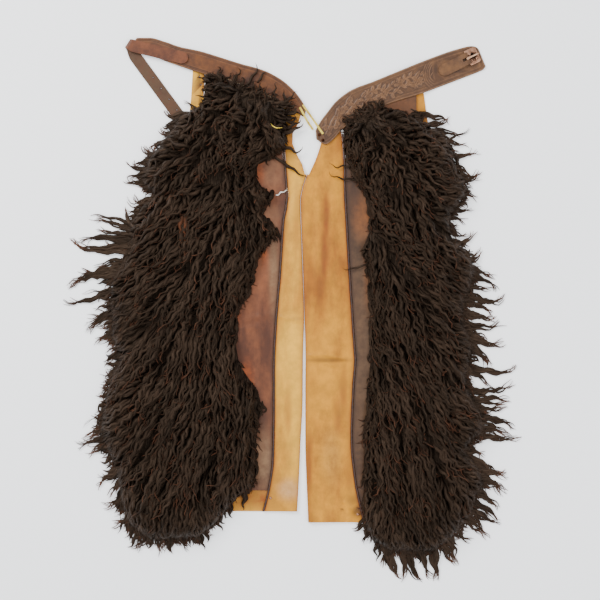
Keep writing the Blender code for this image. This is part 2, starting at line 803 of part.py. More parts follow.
def strap(finish, layout):
    """Make the billet strap: sewn over the belt's end, folded under it, with its holes."""
    crease = math.radians((STRAP_HEADING + STRAP_LOWER_HEADING) / 2)
    along_crease = Vector((math.cos(crease), math.sin(crease)))
    across_crease = Vector((along_crease.y, -along_crease.x))
    origin = Vector(STRAP_FOLD)
    heading = math.radians(STRAP_HEADING)
    run = Vector((math.cos(heading), math.sin(heading)))
    side = Vector((-run.y, run.x))
    radius = (STRAP_TOP_MID - STRAP_GAUGE / 2) / 2
    seat = through(BELT_LEFT_SEAT)

    def folded(point):
        """Lay a point of the flat strap over the crease."""
        offset = point - origin
        inland = offset.dot(across_crease)
        down_crease = offset.dot(along_crease)
        past_corner = min(0.0, down_crease + STRAP_CORNER)
        near_fold = math.exp(-(((inland + math.pi * radius / 2) / STRAP_CORNER_REACH) ** 2))
        pulled = past_corner * (1 - STRAP_CORNER_SHARE) * near_fold
        point = point - along_crease * pulled
        base = origin + along_crease * (down_crease - pulled)
        turn = clamp(-inland / radius, 0.0, math.pi)
        if turn == 0.0:
            rise = seat(point.x) - seat(STRAP_FOLD[0])
            return point.x, point.y, STRAP_TOP_MID + rise
        if turn < math.pi:
            place = base - across_crease * radius * math.sin(turn)
            return place.x, place.y, STRAP_TOP_MID - radius * (1 - math.cos(turn))
        place = base + across_crease * (-inland - math.pi * radius)
        return place.x, place.y, STRAP_GAUGE / 2

    half = STRAP_WIDTH / 2
    round_end = [half * (1 - math.cos(math.radians(a))) for a in STRAP_END_TURNS]
    lower_end = STRAP_LOWER_RUN + math.pi * radius
    stations = [-STRAP_TOP_RUN + e for e in round_end]
    stations += steps(-STRAP_TOP_RUN + half, STRAP_BEND[0], STRAP_UPPER_STEPS)[1:]
    stations += steps(*STRAP_BEND, STRAP_BEND_STEPS)[1:]
    stations += steps(STRAP_BEND[1], lower_end - half, STRAP_LOWER_STEPS)[1:]
    stations += [lower_end - e for e in reversed(round_end[:-1])]
    bm = bmesh.new()
    rows = []
    for s in stations:
        inset = max(0.0, half - (s + STRAP_TOP_RUN), half - (lower_end - s))
        width = math.sqrt(max(half * half - inset * inset, 1.0))
        row = []
        for share in steps(-1.0, 1.0, STRAP_COLUMNS):
            row.append(vertex(bm, *folded(origin + run * s + side * width * share)))
        rows.append(row)
    skin(bm, rows)
    piece = finished(bm, "billet_strap", finish, layout)
    solidify(piece, STRAP_GAUGE)
    holes = bmesh.new()
    lower = math.radians(STRAP_LOWER_HEADING)
    for n in range(STRAP_HOLES):
        reach = STRAP_FIRST_HOLE + n * STRAP_HOLE_PITCH
        x = STRAP_FOLD[0] + reach * math.cos(lower)
        y = STRAP_FOLD[1] + reach * math.sin(lower)
        peg(holes, x, y, STRAP_GAUGE / 2, STRAP_HOLE / 2, STRAP_GAUGE * 1.2)
    punch(piece, holes, layout)
    return piece


def loft(bm, sections):
    """Close a run of upright rectangles (x, half width, low, high) into one solid."""
    rings = []
    for x, half, low, high in sections:
        rings.append([vertex(bm, x, -half, low), vertex(bm, x, -half, high),
                      vertex(bm, x, half, high), vertex(bm, x, half, low)])
    tube(bm, rings)


def at_bar(piece, tilt=0.0):
    """Put a buckle piece's origin on the bar, turned to the belt's heading."""
    place = Matrix.Translation(Vector((*BUCKLE_BAR, BAR_MID)) * MM)
    turn = Matrix.Rotation(math.radians(BUCKLE_HEADING), 4, "Z")
    piece.matrix_basis = place @ turn @ Matrix.Rotation(math.radians(tilt), 4, "Y")


def along_bar():
    """Return the turn that lays a cylinder along the buckle's bar."""
    return Matrix.Rotation(math.pi / 2, 4, "X")


def chape(finish, layout):
    """Make the folded tab that holds the buckle's bar, with a slot for the tongue."""
    half = STRAP_WIDTH / 2
    sections = []
    for degrees in CHAPE_END_TURNS:
        a = math.radians(degrees)
        x = -CHAPE_LENGTH - half * math.cos(a) + half
        sections.append((x, half * math.sin(a), -LOOP_RADIUS, CHAPE_GAUGE - LOOP_RADIUS))
    for x in CHAPE_STATIONS:
        rise = (2 * LOOP_RADIUS - CHAPE_GAUGE) * ease((x + CHAPE_RISE_START) / CHAPE_RISE_RUN)
        sections.append((x, half, -LOOP_RADIUS, CHAPE_GAUGE - LOOP_RADIUS + rise))
    for degrees in CHAPE_LOOP_TURNS:
        a = math.radians(degrees)
        high = LOOP_RADIUS * math.cos(a)
        sections.append((LOOP_RADIUS * math.sin(a), half, -high, high))
    bm = bmesh.new()
    loft(bm, sections)
    piece = finished(bm, "chape", finish, layout)
    at_bar(piece)
    cutters = bmesh.new()
    peg(cutters, 0, 0, 0, LOOP_BORE, STRAP_WIDTH * 2, along_bar())
    punch(piece, cutters, layout)
    slot = bmesh.new()
    section = (CHAPE_SLOT_HALF, -CHAPE_SLOT_DEPTH, CHAPE_SLOT_DEPTH)
    loft(slot, [(-CHAPE_SLOT, *section), (LOOP_RADIUS + CHAPE_SLOT_OVERSHOOT, *section)])
    punch(piece, slot, layout)
    return piece


def buckle_frame(finish, layout):
    """Make the buckle's rounded frame as a closed ring of wire, its bar on the hinge."""
    near, far = FRAME_BAR_CORNER, FRAME_FAR_CORNER
    corners = [
        (near, -FRAME_HALF + near, near, 180),
        (FRAME_LENGTH - far, -FRAME_HALF + far, far, 270),
        (FRAME_LENGTH - far, FRAME_HALF - far, far, 0),
        (near, FRAME_HALF - near, near, 90),
    ]
    path = []
    for x, y, radius, begin in corners:
        for degrees in (0, 30, 60, 90):
            a = math.radians(begin + degrees)
            path.append((Vector((x + radius * math.cos(a), y + radius * math.sin(a))), a))
    bm = bmesh.new()
    rings = []
    for point, facing in path:
        out = Vector((math.cos(facing), math.sin(facing)))
        ring = []
        for corner in range(8):
            a = math.radians(45 * corner + 22.5)
            place = point + out * BAR_RADIUS * math.cos(a)
            ring.append(vertex(bm, place.x, place.y, BAR_RADIUS * math.sin(a)))
        rings.append(ring)
    skin(bm, rings + rings[:1], closed=True)
    piece = finished(bm, "buckle_frame", finish, layout, smooth=True)
    at_bar(piece, BUCKLE_TILT)
    return piece


def buckle_tongue(finish, layout):
    """Make the tongue, a ring on the bar with an arm that rests on the frame's far side."""
    bm = bmesh.new()
    loft(bm, TONGUE)
    piece = finished(bm, "buckle_tongue", finish, layout)
    at_bar(piece, BUCKLE_TILT)
    bore = bmesh.new()
    peg(bore, 0, 0, 0, LOOP_BORE, TONGUE_WIDTH * 3, along_bar())
    punch(piece, bore, layout)
    return piece


def lace(name, route, finish, layout):
    """Make one flat strand of lace along (x, y, underside) points."""
    curves = [through([(i, point[axis]) for i, point in enumerate(route)]) for axis in range(3)]
    shares = steps(0.0, len(route) - 1, (len(route) - 1) * 3)
    points = [Vector([curve(s) for curve in curves]) for s in shares]
    bm = bmesh.new()
    rings = []
    for n, point in enumerate(points):
        ahead = points[min(n + 1, len(points) - 1)] - points[max(n - 1, 0)]
        side = Vector((-ahead.y, ahead.x, 0)).normalized() * LACE_WIDTH / 2
        lift = Vector((0, 0, LACE_GAUGE))
        ring = [point - side, point - side + lift, point + side + lift, point + side]
        rings.append([vertex(bm, *corner) for corner in ring])
    tube(bm, rings)
    return finished(bm, name, finish, layout)


def rivet(row, finish, layout):
    """Make one domed rivet head that sits on leather at a height."""
    bm = bmesh.new()
    place = Matrix.Translation(Vector((row.x, row.y, row.seat + PLAY + RIVET_HEIGHT / 2)) * MM)
    bmesh.ops.create_cone(
        bm,
        cap_ends=True,
        segments=12,
        radius1=RIVET_DIAMETER / 2 * MM,
        radius2=RIVET_DIAMETER / 4 * MM,
        depth=RIVET_HEIGHT * MM,
        matrix=place,
    )
    return finished(bm, row.name, finish, layout, smooth=True)


def centre_on_floor(layout):
    """Move the layout so that the middle of the whole stands over the origin."""
    bpy.context.view_layer.update()
    graph = bpy.context.evaluated_depsgraph_get()
    points = []
    for piece in layout.children:
        if not piece.hide_render:
            mesh = piece.evaluated_get(graph).to_mesh()
            points += [piece.matrix_world @ corner.co for corner in mesh.vertices]
    for axis in (0, 1):
        reach = [point[axis] for point in points]
        layout.location[axis] = -(min(reach) + max(reach)) / 2


def main():
    """Build the chaps."""
    for thing in list(bpy.data.objects):
        bpy.data.objects.remove(thing)
    layout = bpy.data.objects.new("layout", None)
    bpy.context.scene.collection.objects.link(layout)
    tan = material("tan_leather", (0.60, 0.36, 0.12), 0.55)
    hide = material("brown_hide", (0.22, 0.09, 0.05), 0.5)
    piping = material("dark_piping", (0.06, 0.03, 0.02), 0.55)
    wool = material("dark_wool", (0.012, 0.007, 0.005), 0.8)
    brown = material("belt_leather", (0.16, 0.06, 0.03), 0.45)
    pale = material("pale_lace", (0.65, 0.52, 0.18), 0.6)
    bronze = material("bronze", (0.45, 0.24, 0.14), 0.35, 1.0)
    for leg in (LEFT_LEG, RIGHT_LEG):
        leg_sheet(leg, tan, layout)
        hide_panel(leg, hide, layout)
        welt(leg, piping, layout)
        fleece(leg, wool, layout)
        edge_locks(leg, wool, layout)
    belt_half("belt_left", LEFT_BELT, BELT_LEFT_SEAT, brown, layout)
    belt_half("belt_right", RIGHT_BELT, BELT_RIGHT_SEAT, brown, layout)
    strap(brown, layout)
    chape(brown, layout)
    buckle_frame(bronze, layout)
    buckle_tongue(bronze, layout)
    lace("thong_upper", UPPER_LACE, pale, layout)
    lace("thong_lower", LOWER_LACE, pale, layout)
    for row in RIVETS:
        rivet(row, bronze, layout)
    centre_on_floor(layout)


main()
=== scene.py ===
"""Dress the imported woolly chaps: curly locks, worn leather, a tooled belt and its buckle.

Tables are plans in millimetres, X to the right and Y towards the belt, in the
maker's layout. The buckle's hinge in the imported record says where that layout
lies in the frame.
"""

import json
import logging
import math
from dataclasses import dataclass, field
from enum import Enum
from typing import Any, Callable, NamedTuple, Sequence

import bmesh
import bpy
import numpy as np
from mathutils import Matrix, Vector


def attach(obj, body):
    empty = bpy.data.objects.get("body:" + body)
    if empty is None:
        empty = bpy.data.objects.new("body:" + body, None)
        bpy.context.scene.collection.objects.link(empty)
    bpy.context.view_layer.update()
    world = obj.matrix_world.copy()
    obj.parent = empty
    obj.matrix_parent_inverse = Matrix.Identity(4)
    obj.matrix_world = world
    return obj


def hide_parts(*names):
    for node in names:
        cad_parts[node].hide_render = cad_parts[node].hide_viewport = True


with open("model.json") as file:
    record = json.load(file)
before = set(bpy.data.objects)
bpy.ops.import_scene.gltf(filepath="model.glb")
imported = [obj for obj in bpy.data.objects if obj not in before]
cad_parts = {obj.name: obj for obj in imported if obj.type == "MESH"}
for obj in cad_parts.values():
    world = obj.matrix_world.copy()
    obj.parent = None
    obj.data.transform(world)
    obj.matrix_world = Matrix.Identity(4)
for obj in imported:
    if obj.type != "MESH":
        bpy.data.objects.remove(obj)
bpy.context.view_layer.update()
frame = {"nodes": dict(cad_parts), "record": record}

LOG = logging.getLogger("chaps")
MM = 0.001
BODY = "garment"
BAR_PLAN = (370.0, 531.0)
HINGE = frame["record"]["behaviour"]["joints"][0]["pos_m"]
SHIFT = Vector((HINGE[0] - BAR_PLAN[0] * MM, HINGE[1] - BAR_PLAN[1] * MM, 0.0))


class FleeceRow(NamedTuple):
    """One line across the fleece, from its outer edge to its inner edge."""

    outer_x: float
    outer_y: float
    inner_x: float
    inner_y: float


class EdgeRow(NamedTuple):
    """How far out the dense wool reaches at a height in the plan."""

    y: float
    x: float


class Tuft(NamedTuple):
    """A tuft of the fleece's edge: its root, its tip, its breadth and its tip's turn in degrees."""

    root_x: float
    root_y: float
    tip_x: float
    tip_y: float
    breadth: float
    hook: float


class StrayLock(NamedTuple):
    """One loose lock that strays over leather, from its root to its tip."""

    from_x: float
    from_y: float
    to_x: float
    to_y: float
    lift: float
    radius: float


class BeltRow(NamedTuple):
    """One line across a belt half, from its top edge to its lower edge."""

    top_x: float
    top_y: float
    low_x: float
    low_y: float


class Crease(NamedTuple):
    """One soft ridge in leather along a line in the plan."""

    from_x: float
    from_y: float
    to_x: float
    to_y: float
    height: float
    breadth: float


def table(kind: type, rows: Sequence[tuple[float, ...]]) -> list[Any]:
    """Return rows of one kind, whose fields are the table's columns, from plain tuples."""
    return [kind(*row) for row in rows]


def lerp(a: Any, b: Any, t: Any) -> Any:
    """Return the value at share t of the way from a to b."""
    return a + (b - a) * t


def ease(t: Any) -> Any:
    """Return t held between 0 and 1 and eased at both ends."""
    t = np.clip(t, 0.0, 1.0)
    return t * t * (3 - 2 * t)


def through(points: Sequence[tuple[float, float]]) -> Callable[[float], float]:
    """Return a smooth function through (key, value) pairs with no overshoot.

    Args:
        points: pairs in any order.

    Returns:
        A function of the key, held at the first and last values outside them.
    """
    points = sorted(points)
    keys = [p[0] for p in points]
    values = [p[1] for p in points]
    last = len(keys) - 1
    rises = [(values[i + 1] - values[i]) / (keys[i + 1] - keys[i]) for i in range(last)]
    slopes = [rises[0]]
    for before, after in zip(rises, rises[1:]):
        slopes.append(0.0 if before * after <= 0 else 2 * before * after / (before + after))
    slopes.append(rises[-1])

    def value_at(key: float) -> float:
        key = min(max(key, keys[0]), keys[-1])
        i = next((n for n in range(last) if key <= keys[n + 1]), last - 1)
        width = keys[i + 1] - keys[i]
        t = (key - keys[i]) / width
        bend = t * t * (3 - 2 * t)
        lead = t * (1 - t) ** 2 * width * slopes[i]
        tail = t * t * (t - 1) * width * slopes[i + 1]
        return values[i] * (1 - bend) + values[i + 1] * bend + lead + tail

    return value_at


def resampled(rows: Sequence[NamedTuple], count: int) -> np.ndarray:
    """Return count + 1 rows on smooth curves through a table, evenly along its first edge."""
    along = [0.0]
    for before, after in zip(rows, rows[1:]):
        along.append(along[-1] + math.hypot(after[0] - before[0], after[1] - before[1]))
    columns = [through(list(zip(along, column))) for column in zip(*rows)]
    return np.array([[column(s) for column in columns] for s in np.linspace(0, along[-1], count + 1)])


def place(points: np.ndarray) -> np.ndarray:
    """Turn layout points in millimetres into the frame's metres."""
    return np.asarray(points, dtype=float) * MM + np.array(SHIFT)


def linear(hex_code: str) -> tuple[float, float, float, float]:
    """Turn an sRGB hex colour into linear RGBA."""
    channels = [int(hex_code[i:i + 2], 16) / 255 for i in (1, 3, 5)]
    turned = [c / 12.92 if c <= 0.04045 else ((c + 0.055) / 1.055) ** 2.4 for c in channels]
    return (*turned, 1.0)


def add(
    tree: bpy.types.NodeTree,
    kind: str,
    inputs: dict[Any, Any] | None = None,
    stops: Sequence[tuple[float, str]] = (),
    **settings: Any,
) -> bpy.types.Node:
    """Add one shader node with its settings, links and, on a ramp, its colour stops.

    Args:
        tree: the material's node tree.
        kind: the node's type name.
        inputs: socket names or numbers, each with a value or an output socket.
        stops: a colour ramp's (position, hex colour) pairs.
        settings: the node's own properties.

    Returns:
        The new node.
    """
    node = tree.nodes.new(kind)
    for name, value in settings.items():
        setattr(node, name, value)
    for key, value in (inputs or {}).items():
        if isinstance(value, bpy.types.NodeSocket):
            tree.links.new(value, node.inputs[key])
        else:
            node.inputs[key].default_value = value
    if stops:
        elements = node.color_ramp.elements
        while len(elements) < len(stops):
            elements.new(1.0)
        for element, (position, colour) in zip(elements, stops):
            element.position = position
            element.color = linear(colour)
    return node


def new_material(name: str) -> tuple[bpy.types.Material, bpy.types.NodeTree, bpy.types.Node]:
    """Return a new material, its node tree and its Principled shader."""
    material = bpy.data.materials.new(name)
    material.use_nodes = True
    tree = material.node_tree
    return material, tree, tree.nodes["Principled BSDF"]


def dress(
    piece: bpy.types.Object,
    material: bpy.types.Material,
    replaces: Sequence[str] = (),
    body: str = BODY,
) -> bpy.types.Object:
    """Give a piece its material, its body and the nodes that it stands for."""
    piece.data.materials.clear()
    piece.data.materials.append(material)
    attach(piece, body)
    if replaces:
        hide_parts(*replaces)
    LOG.info("%s: %d faces", piece.name, len(piece.data.polygons))
    return piece


def link(name: str, mesh: bpy.types.Mesh) -> bpy.types.Object:
    """Put a mesh into the scene as an object at the origin."""
    piece = bpy.data.objects.new(name, mesh)
    bpy.context.scene.collection.objects.link(piece)
    return piece


def from_bmesh(name: str, bm: bmesh.types.BMesh, angle: float = 40.0) -> bpy.types.Object:
    """Turn a bmesh into a smooth-shaded object with creases past an angle in degrees."""
    mesh = bpy.data.meshes.new(name)
    bm.to_mesh(mesh)
    bm.free()
    mesh.shade_smooth()
    mesh.set_sharp_from_angle(angle=math.radians(angle))
    return link(name, mesh)


def node_copy(node: str) -> bmesh.types.BMesh:
    """Return a CAD node's mesh as a merged bmesh in the frame's metres."""
    source = frame["nodes"][node]
    bm = bmesh.new()
    bm.from_mesh(source.data)
    bm.transform(source.matrix_world)
    bmesh.ops.remove_doubles(bm, verts=bm.verts[:], dist=2e-6)
    return bm


def seam_line(side: str) -> tuple[np.ndarray, np.ndarray]:
    """Return the welt's course as sorted y and its x, in layout millimetres."""
    points = layout_points(node_copy("welt_" + side))
    rows = np.unique(np.round(points[:, 1], 1))
    middles = [points[np.abs(points[:, 1] - row) < 0.2, 0].mean() for row in rows]
    return rows, np.array(middles)


def layout_points(bm: bmesh.types.BMesh) -> np.ndarray:
    """Return a bmesh's vertices in layout millimetres."""
    return (np.array([vertex.co for vertex in bm.verts]) - np.array(SHIFT)) / MM


def refine(bm: bmesh.types.BMesh, longest: float, above: float = -1.0) -> None:
    """Split a mesh's edges until none is too long.

    Args:
        bm: the mesh.
        longest: the greatest length that an edge keeps, in millimetres.
        above: only edges that lie above this height, in millimetres, are split.
    """
    bmesh.ops.join_triangles(
        bm, faces=bm.faces[:], angle_face_threshold=0.1, angle_shape_threshold=3.1,
        cmp_seam=False, cmp_sharp=False, cmp_uvs=False, cmp_vcols=False, cmp_materials=False,
    )
    while True:
        edges = [
            edge for edge in bm.edges
            if edge.calc_length() > longest * MM and min(end.co.z for end in edge.verts) > above * MM
        ]
        if not edges:
            return
        bmesh.ops.subdivide_edges(bm, edges=edges, cuts=1, use_grid_fill=True)


def write_shares(mesh: bpy.types.Mesh, shares: dict[str, np.ndarray]) -> None:
    """Write point attributes, held between 0 and 1, that the leather finish reads."""
    for name, values in shares.items():
        layer = mesh.attributes.new(name, "FLOAT", "POINT")
        layer.data.foreach_set("value", np.clip(values, 0, 1).astype(np.float32))


def tubes(
    name: str,
    spine: np.ndarray,
    girth: np.ndarray,
    sides: int = 6,
    across: float = 1.0,
    upright: float = 1.0,
) -> tuple[bpy.types.Mesh, np.ndarray]:
    """Join closed tubes along spines into one mesh.

    Args:
        name: the mesh's name.
        spine: centre points in layout millimetres, shape (tubes, rings, 3).
        girth: radii in millimetres, shape (tubes, rings).
        sides: the number of sides of a tube.
        across: the radius's factor sideways.
        upright: the radius's factor upward.

    Returns:
        The mesh, and the flat index of the vertex at each face corner.
    """
    count, rings = girth.shape
    ahead = np.gradient(spine, axis=1)
    ahead /= np.linalg.norm(ahead, axis=2, keepdims=True)
    aside = np.cross(ahead, (0.0, 0.0, 1.0))
    aside /= np.linalg.norm(aside, axis=2, keepdims=True)
    upward = np.cross(aside, ahead)
    around = np.linspace(0, 2 * math.pi, sides, endpoint=False)[:, None]
    ring = aside[:, :, None] * np.cos(around) * across + upward[:, :, None] * np.sin(around) * upright
    points = spine[:, :, None] + ring * girth[:, :, None, None]
    points[..., 2] = np.maximum(points[..., 2], 0.4)
    base = np.arange(count)[:, None, None] * rings * sides
    low = base + np.arange(rings - 1)[None, :, None] * sides
    here = low + np.arange(sides)
    beside = low + (np.arange(sides) + 1) % sides
    quads = np.stack([here, beside, beside + sides, here + sides], axis=-1).reshape(-1, 4)
    start = (base[:, 0] + np.arange(sides)[::-1]).reshape(-1, sides)
    end = (base[:, 0] + (rings - 1) * sides + np.arange(sides)).reshape(-1, sides)
    corners = np.concatenate([quads.ravel(), start.ravel(), end.ravel()])
    sizes = np.concatenate([np.full(len(quads), 4), np.full(2 * count, sides)])
    mesh = bpy.data.meshes.new(name)
    mesh.vertices.add(points.size // 3)
    mesh.vertices.foreach_set("co", place(points.reshape(-1, 3)).astype(np.float32).ravel())
    mesh.loops.add(len(corners))
    mesh.loops.foreach_set("vertex_index", corners.astype(np.int32))
    mesh.polygons.add(len(sizes))
    mesh.polygons.foreach_set("loop_start", np.concatenate([[0], np.cumsum(sizes)[:-1]]).astype(np.int32))
    mesh.update(calc_edges=True)
    mesh.shade_smooth()
    return mesh, corners


@dataclass(frozen=True)
class WoolFinish:
    """Long mohair-like wool, dyed near black: streaked along each lock, redder at its tip."""

    root: str = "#0a0605"
    middle: str = "#1f1610"
    tip: str = "#523122"
    streak: str = "#604e40"
    streak_width_mm: float = 1.8
    streak_length_mm: float = 26.0

    def material(self, name: str) -> bpy.types.Material:
        """Return the material; it reads the maps along and strand of each lock."""
        material, tree, shader = new_material(name)
        along = add(tree, "ShaderNodeUVMap", uv_map="along").outputs["UV"]
        strand = add(tree, "ShaderNodeUVMap", uv_map="strand").outputs["UV"]
        parts = add(tree, "ShaderNodeSeparateXYZ", {"Vector": along})
        # Streaks are drawn coarser than single hairs so that they show in the render
        stretch = (1 / self.streak_length_mm, 1 / self.streak_width_mm, 1.0)
        stretched = add(tree, "ShaderNodeMapping", {"Vector": strand, "Scale": stretch})
        hairs = add(
            tree, "ShaderNodeTexNoise",
            {"Vector": stretched.outputs["Vector"], "Scale": 1.0, "Detail": 3.0, "Roughness": 0.6},
        )
        body = add(
            tree, "ShaderNodeValToRGB", {"Fac": parts.outputs["X"]},
            stops=[(0.0, self.root), (0.45, self.middle), (0.8, self.middle), (1.0, self.tip)],
        )
        shade = add(
            tree, "ShaderNodeMapRange",
            {"Value": parts.outputs["Y"], "To Min": 0.3, "To Max": 1.9},
        )
        toned = add(
            tree, "ShaderNodeMix",
            {"Factor": 1.0, "A": body.outputs["Color"], "B": shade.outputs["Result"]},
            data_type="RGBA", blend_type="MULTIPLY",
        )
        lit = add(
            tree, "ShaderNodeMapRange",
            {"Value": hairs.outputs["Fac"], "From Min": 0.5, "From Max": 0.8, "To Max": 0.55},
        )
        streaked = add(
            tree, "ShaderNodeMix",
            {"Factor": lit.outputs["Result"], "A": toned.outputs["Result"], "B": linear(self.streak)},
            data_type="RGBA",
        )
        bump = add(
            tree, "ShaderNodeBump",
            {"Height": hairs.outputs["Fac"], "Strength": 0.8, "Distance": 0.0022},
        )
        tree.links.new(streaked.outputs["Result"], shader.inputs["Base Color"])
        tree.links.new(bump.outputs["Normal"], shader.inputs["Normal"])
        shader.inputs["Roughness"].default_value = 0.52
        shader.inputs["Specular IOR Level"].default_value = 0.3
        shader.inputs["Specular Tint"].default_value = linear("#cfb298")
        return material


@dataclass
class Fleece:
    """The wool of one leg: a dense mat, clumps of curly locks and locks along the edge."""

    side: str
    facing: int
    rows: Sequence[FleeceRow]
    dense: Sequence[EdgeRow]
    tufts: Sequence[Tuft]
    strays: Sequence[StrayLock]
    seed: int
    sunburnt: Sequence[StrayLock] = ()
    clump_pitch: float = 24.5
    clump_size: int = 5
    lock_pitch: float = 3.6
    rim_count: int = 230
    crest_count: int = 170
    lock_radius: float = 4.2
    lock_length: float = 108.0
    hip_y: float = 415.0
    foot_rise: float = 24.0
    foot_run: float = 60.0
    outer_play: float = 14.0
    inner_play: float = 6.0
    segments: int = 14
    loft: float = 34.0
    round_over: float = 62.0
    seat: float = 5.4
    rim: float = 5.0
    curves: np.ndarray = field(init=False)

    def __post_init__(self) -> None:
        """Work out the fine rows, drawn in to the dense wool, and their closed outline."""
        self.solid = resampled(self.rows, 80)
        self.curves = self.solid.copy()
        self.curves[:, 0] = self.dense_x(self.solid[:, 1])
        self.curves[:, 1::2] += self.foot_lift(self.curves[:, 1::2])
        outer = self.curves[:, :2]
        inner = self.curves[:, 2:]
        self.outline = np.vstack([outer, inner[::-1]])
        self.random = np.random.default_rng(self.seed)

    def foot_lift(self, y: np.ndarray) -> np.ndarray:
        """Return how far the dense wool is drawn up at heights near the hem, clear of its tufts."""
        hem = self.solid[:, 1::2].min()
        return self.foot_rise * np.clip(1 - (y - hem) / self.foot_run, 0, 1)

    def dense_x(self, y: np.ndarray) -> np.ndarray:
        """Return the dense wool's outer x at heights in the plan."""
        heights, reach = np.array(sorted(self.dense)).T
        return np.interp(y, heights, reach)

    def at(self, s: np.ndarray, t: np.ndarray) -> np.ndarray:
        """Return plan points at shares s across and t down the fleece."""
        spot = np.clip(t, 0, 1) * (len(self.curves) - 1)
        low = np.minimum(spot.astype(int), len(self.curves) - 2)
        row = lerp(self.curves[low], self.curves[low + 1], (spot - low)[:, None])
        return lerp(row[:, :2], row[:, 2:], s[:, None])

    def depth(self, points: np.ndarray) -> np.ndarray:
        """Return each plan point's distance inside the outline, negative outside it."""
        starts = self.outline
        ends = np.roll(starts, -1, axis=0)
        spans = ends - starts
        offsets = points[:, None, :] - starts[None]
        share = np.clip((offsets * spans).sum(2) / np.maximum((spans ** 2).sum(1), 1e-9), 0, 1)
        gaps = np.linalg.norm(offsets - share[..., None] * spans[None], axis=2).min(1)
        x, y = points[:, 0, None], points[:, 1, None]
        crosses = (starts[None, :, 1] > y) != (ends[None, :, 1] > y)
        rise = np.where(spans[:, 1] == 0, 1e-9, spans[:, 1])
        meets = starts[None, :, 0] + (y - starts[None, :, 1]) / rise * spans[None, :, 0]
        inside = (crosses & (x < meets)).sum(1) % 2 == 1
        return np.where(inside, gaps, -gaps)

    def height(self, points: np.ndarray) -> np.ndarray:
        """Return the wool's upper height over the surface at plan points, in millimetres."""
        depth = self.depth(points)
        top_line = np.interp(points[:, 0], *self.belt_line())
        near_belt = np.clip(1 - (top_line - points[:, 1]) / 60, 0, 1) * 16
        swell = np.sqrt(1 - (1 - np.clip((depth + near_belt) / self.round_over, 0, 1)) ** 2)
        inside = self.seat + self.rim + (self.loft - self.rim) * swell
        outside = 2.4 + (self.seat + self.rim - 2.4) * np.exp(np.minimum(depth, 0) / 20)
        return np.where(depth >= 0, inside, outside)

    def belt_line(self) -> tuple[np.ndarray, np.ndarray]:
        """Return the fleece's top row as sorted x and y arrays."""
        ends = self.curves[0].reshape(2, 2)
        ends = ends[np.argsort(ends[:, 0])]
        return ends[:, 0], ends[:, 1]

    def flow(self, s: np.ndarray, t: np.ndarray) -> np.ndarray:
        """Return the heading in degrees at which locks fall, at shares across and down."""
        outer = np.interp(t, [0, 0.12, 0.3, 0.6, 0.8, 0.92, 1], [208, 204, 198, 203, 220, 242, 262])
        middle = np.interp(t, [0, 0.2, 0.5, 0.8, 1], [236, 232, 236, 250, 268])
        inner = np.interp(t, [0, 0.15, 0.4, 0.8, 1], [276, 268, 262, 270, 286])
        heading = np.where(s < 0.5, lerp(outer, middle, ease(s * 2)), lerp(middle, inner, ease(s * 2 - 1)))
        spot = self.at(s, t)
        swirl = 22 * np.sin(2 * math.pi * (spot[:, 0] / 150 + spot[:, 1] / 240) + self.seed)
        swirl += 16 * np.sin(2 * math.pi * (spot[:, 0] / 80 - spot[:, 1] / 110) + 2 * self.seed)
        # The short wool below the belt curls every way, the long wool of the leg falls
        heading += swirl * np.interp(t, [0, 0.18, 0.35, 1], [1.8, 1.3, 0.55, 0.3])
        return heading if self.facing > 0 else 180 - heading

    def clumps(self) -> dict[str, np.ndarray]:
        """Scatter clump roots over the fleece and give each member lock its course.

        Returns:
            Arrays by name, one entry for each lock: root, heading, length, bend,
            radius, wave, pitch, phase, lift, shade and over.
        """
        draw = self.random
        width = np.linalg.norm(self.curves[:, :2] - self.curves[:, 2:], axis=1)
        length = np.linalg.norm(np.diff(self.curves[:, :2], axis=0), axis=1).sum()
        shares_s: list[float] = []
        shares_t: list[float] = []
        lines = int(length / self.clump_pitch)
        for line in range(lines):
            t = (line + 0.05) / lines
            across = max(3, int(np.interp(t, np.linspace(0, 1, len(width)), width) / self.clump_pitch))
            for column in range(across):
                shares_s.append((column + 0.5 + 0.5 * (line % 2 - 0.5)) / across)
                shares_t.append(t)
        s = np.array(shares_s) + draw.normal(0, 0.018, len(shares_s))
        t = np.array(shares_t) + draw.normal(0, 0.006, len(shares_s))
        s = np.clip(s, 0.02, 0.98)
        t = np.clip(t, 0.0, 0.985)
        count = len(s)
        heading = self.flow(s, t) + draw.normal(0, 1, count) * np.interp(t, [0, 0.3], [16, 8])
        short = np.interp(t, [0, 0.12, 0.3, 0.6], [0.45, 0.62, 0.95, 1.2])
        reach = self.lock_length * draw.uniform(0.72, 1.15, count) * short
        turn = draw.normal(0, 24, count)
        lift = draw.uniform(-3.0, 7.0, count)
        shade = draw.uniform(0.15, 0.85, count)
        member = np.repeat(np.arange(count), self.clump_size)
        total = len(member)
        ahead = np.radians(heading[member])
        aside = np.stack([-np.sin(ahead), np.cos(ahead)], 1)
        forward = np.stack([np.cos(ahead), np.sin(ahead)], 1)
        spread = draw.uniform(-0.5, 0.5, total) * self.clump_pitch * 1.25
        root = self.at(s[member], t[member]) + aside * spread[:, None]
        root += forward * draw.uniform(-0.5, 0.5, (total, 1)) * self.clump_pitch
        pull = np.degrees(np.arctan2(spread * 0.62, reach[member]))
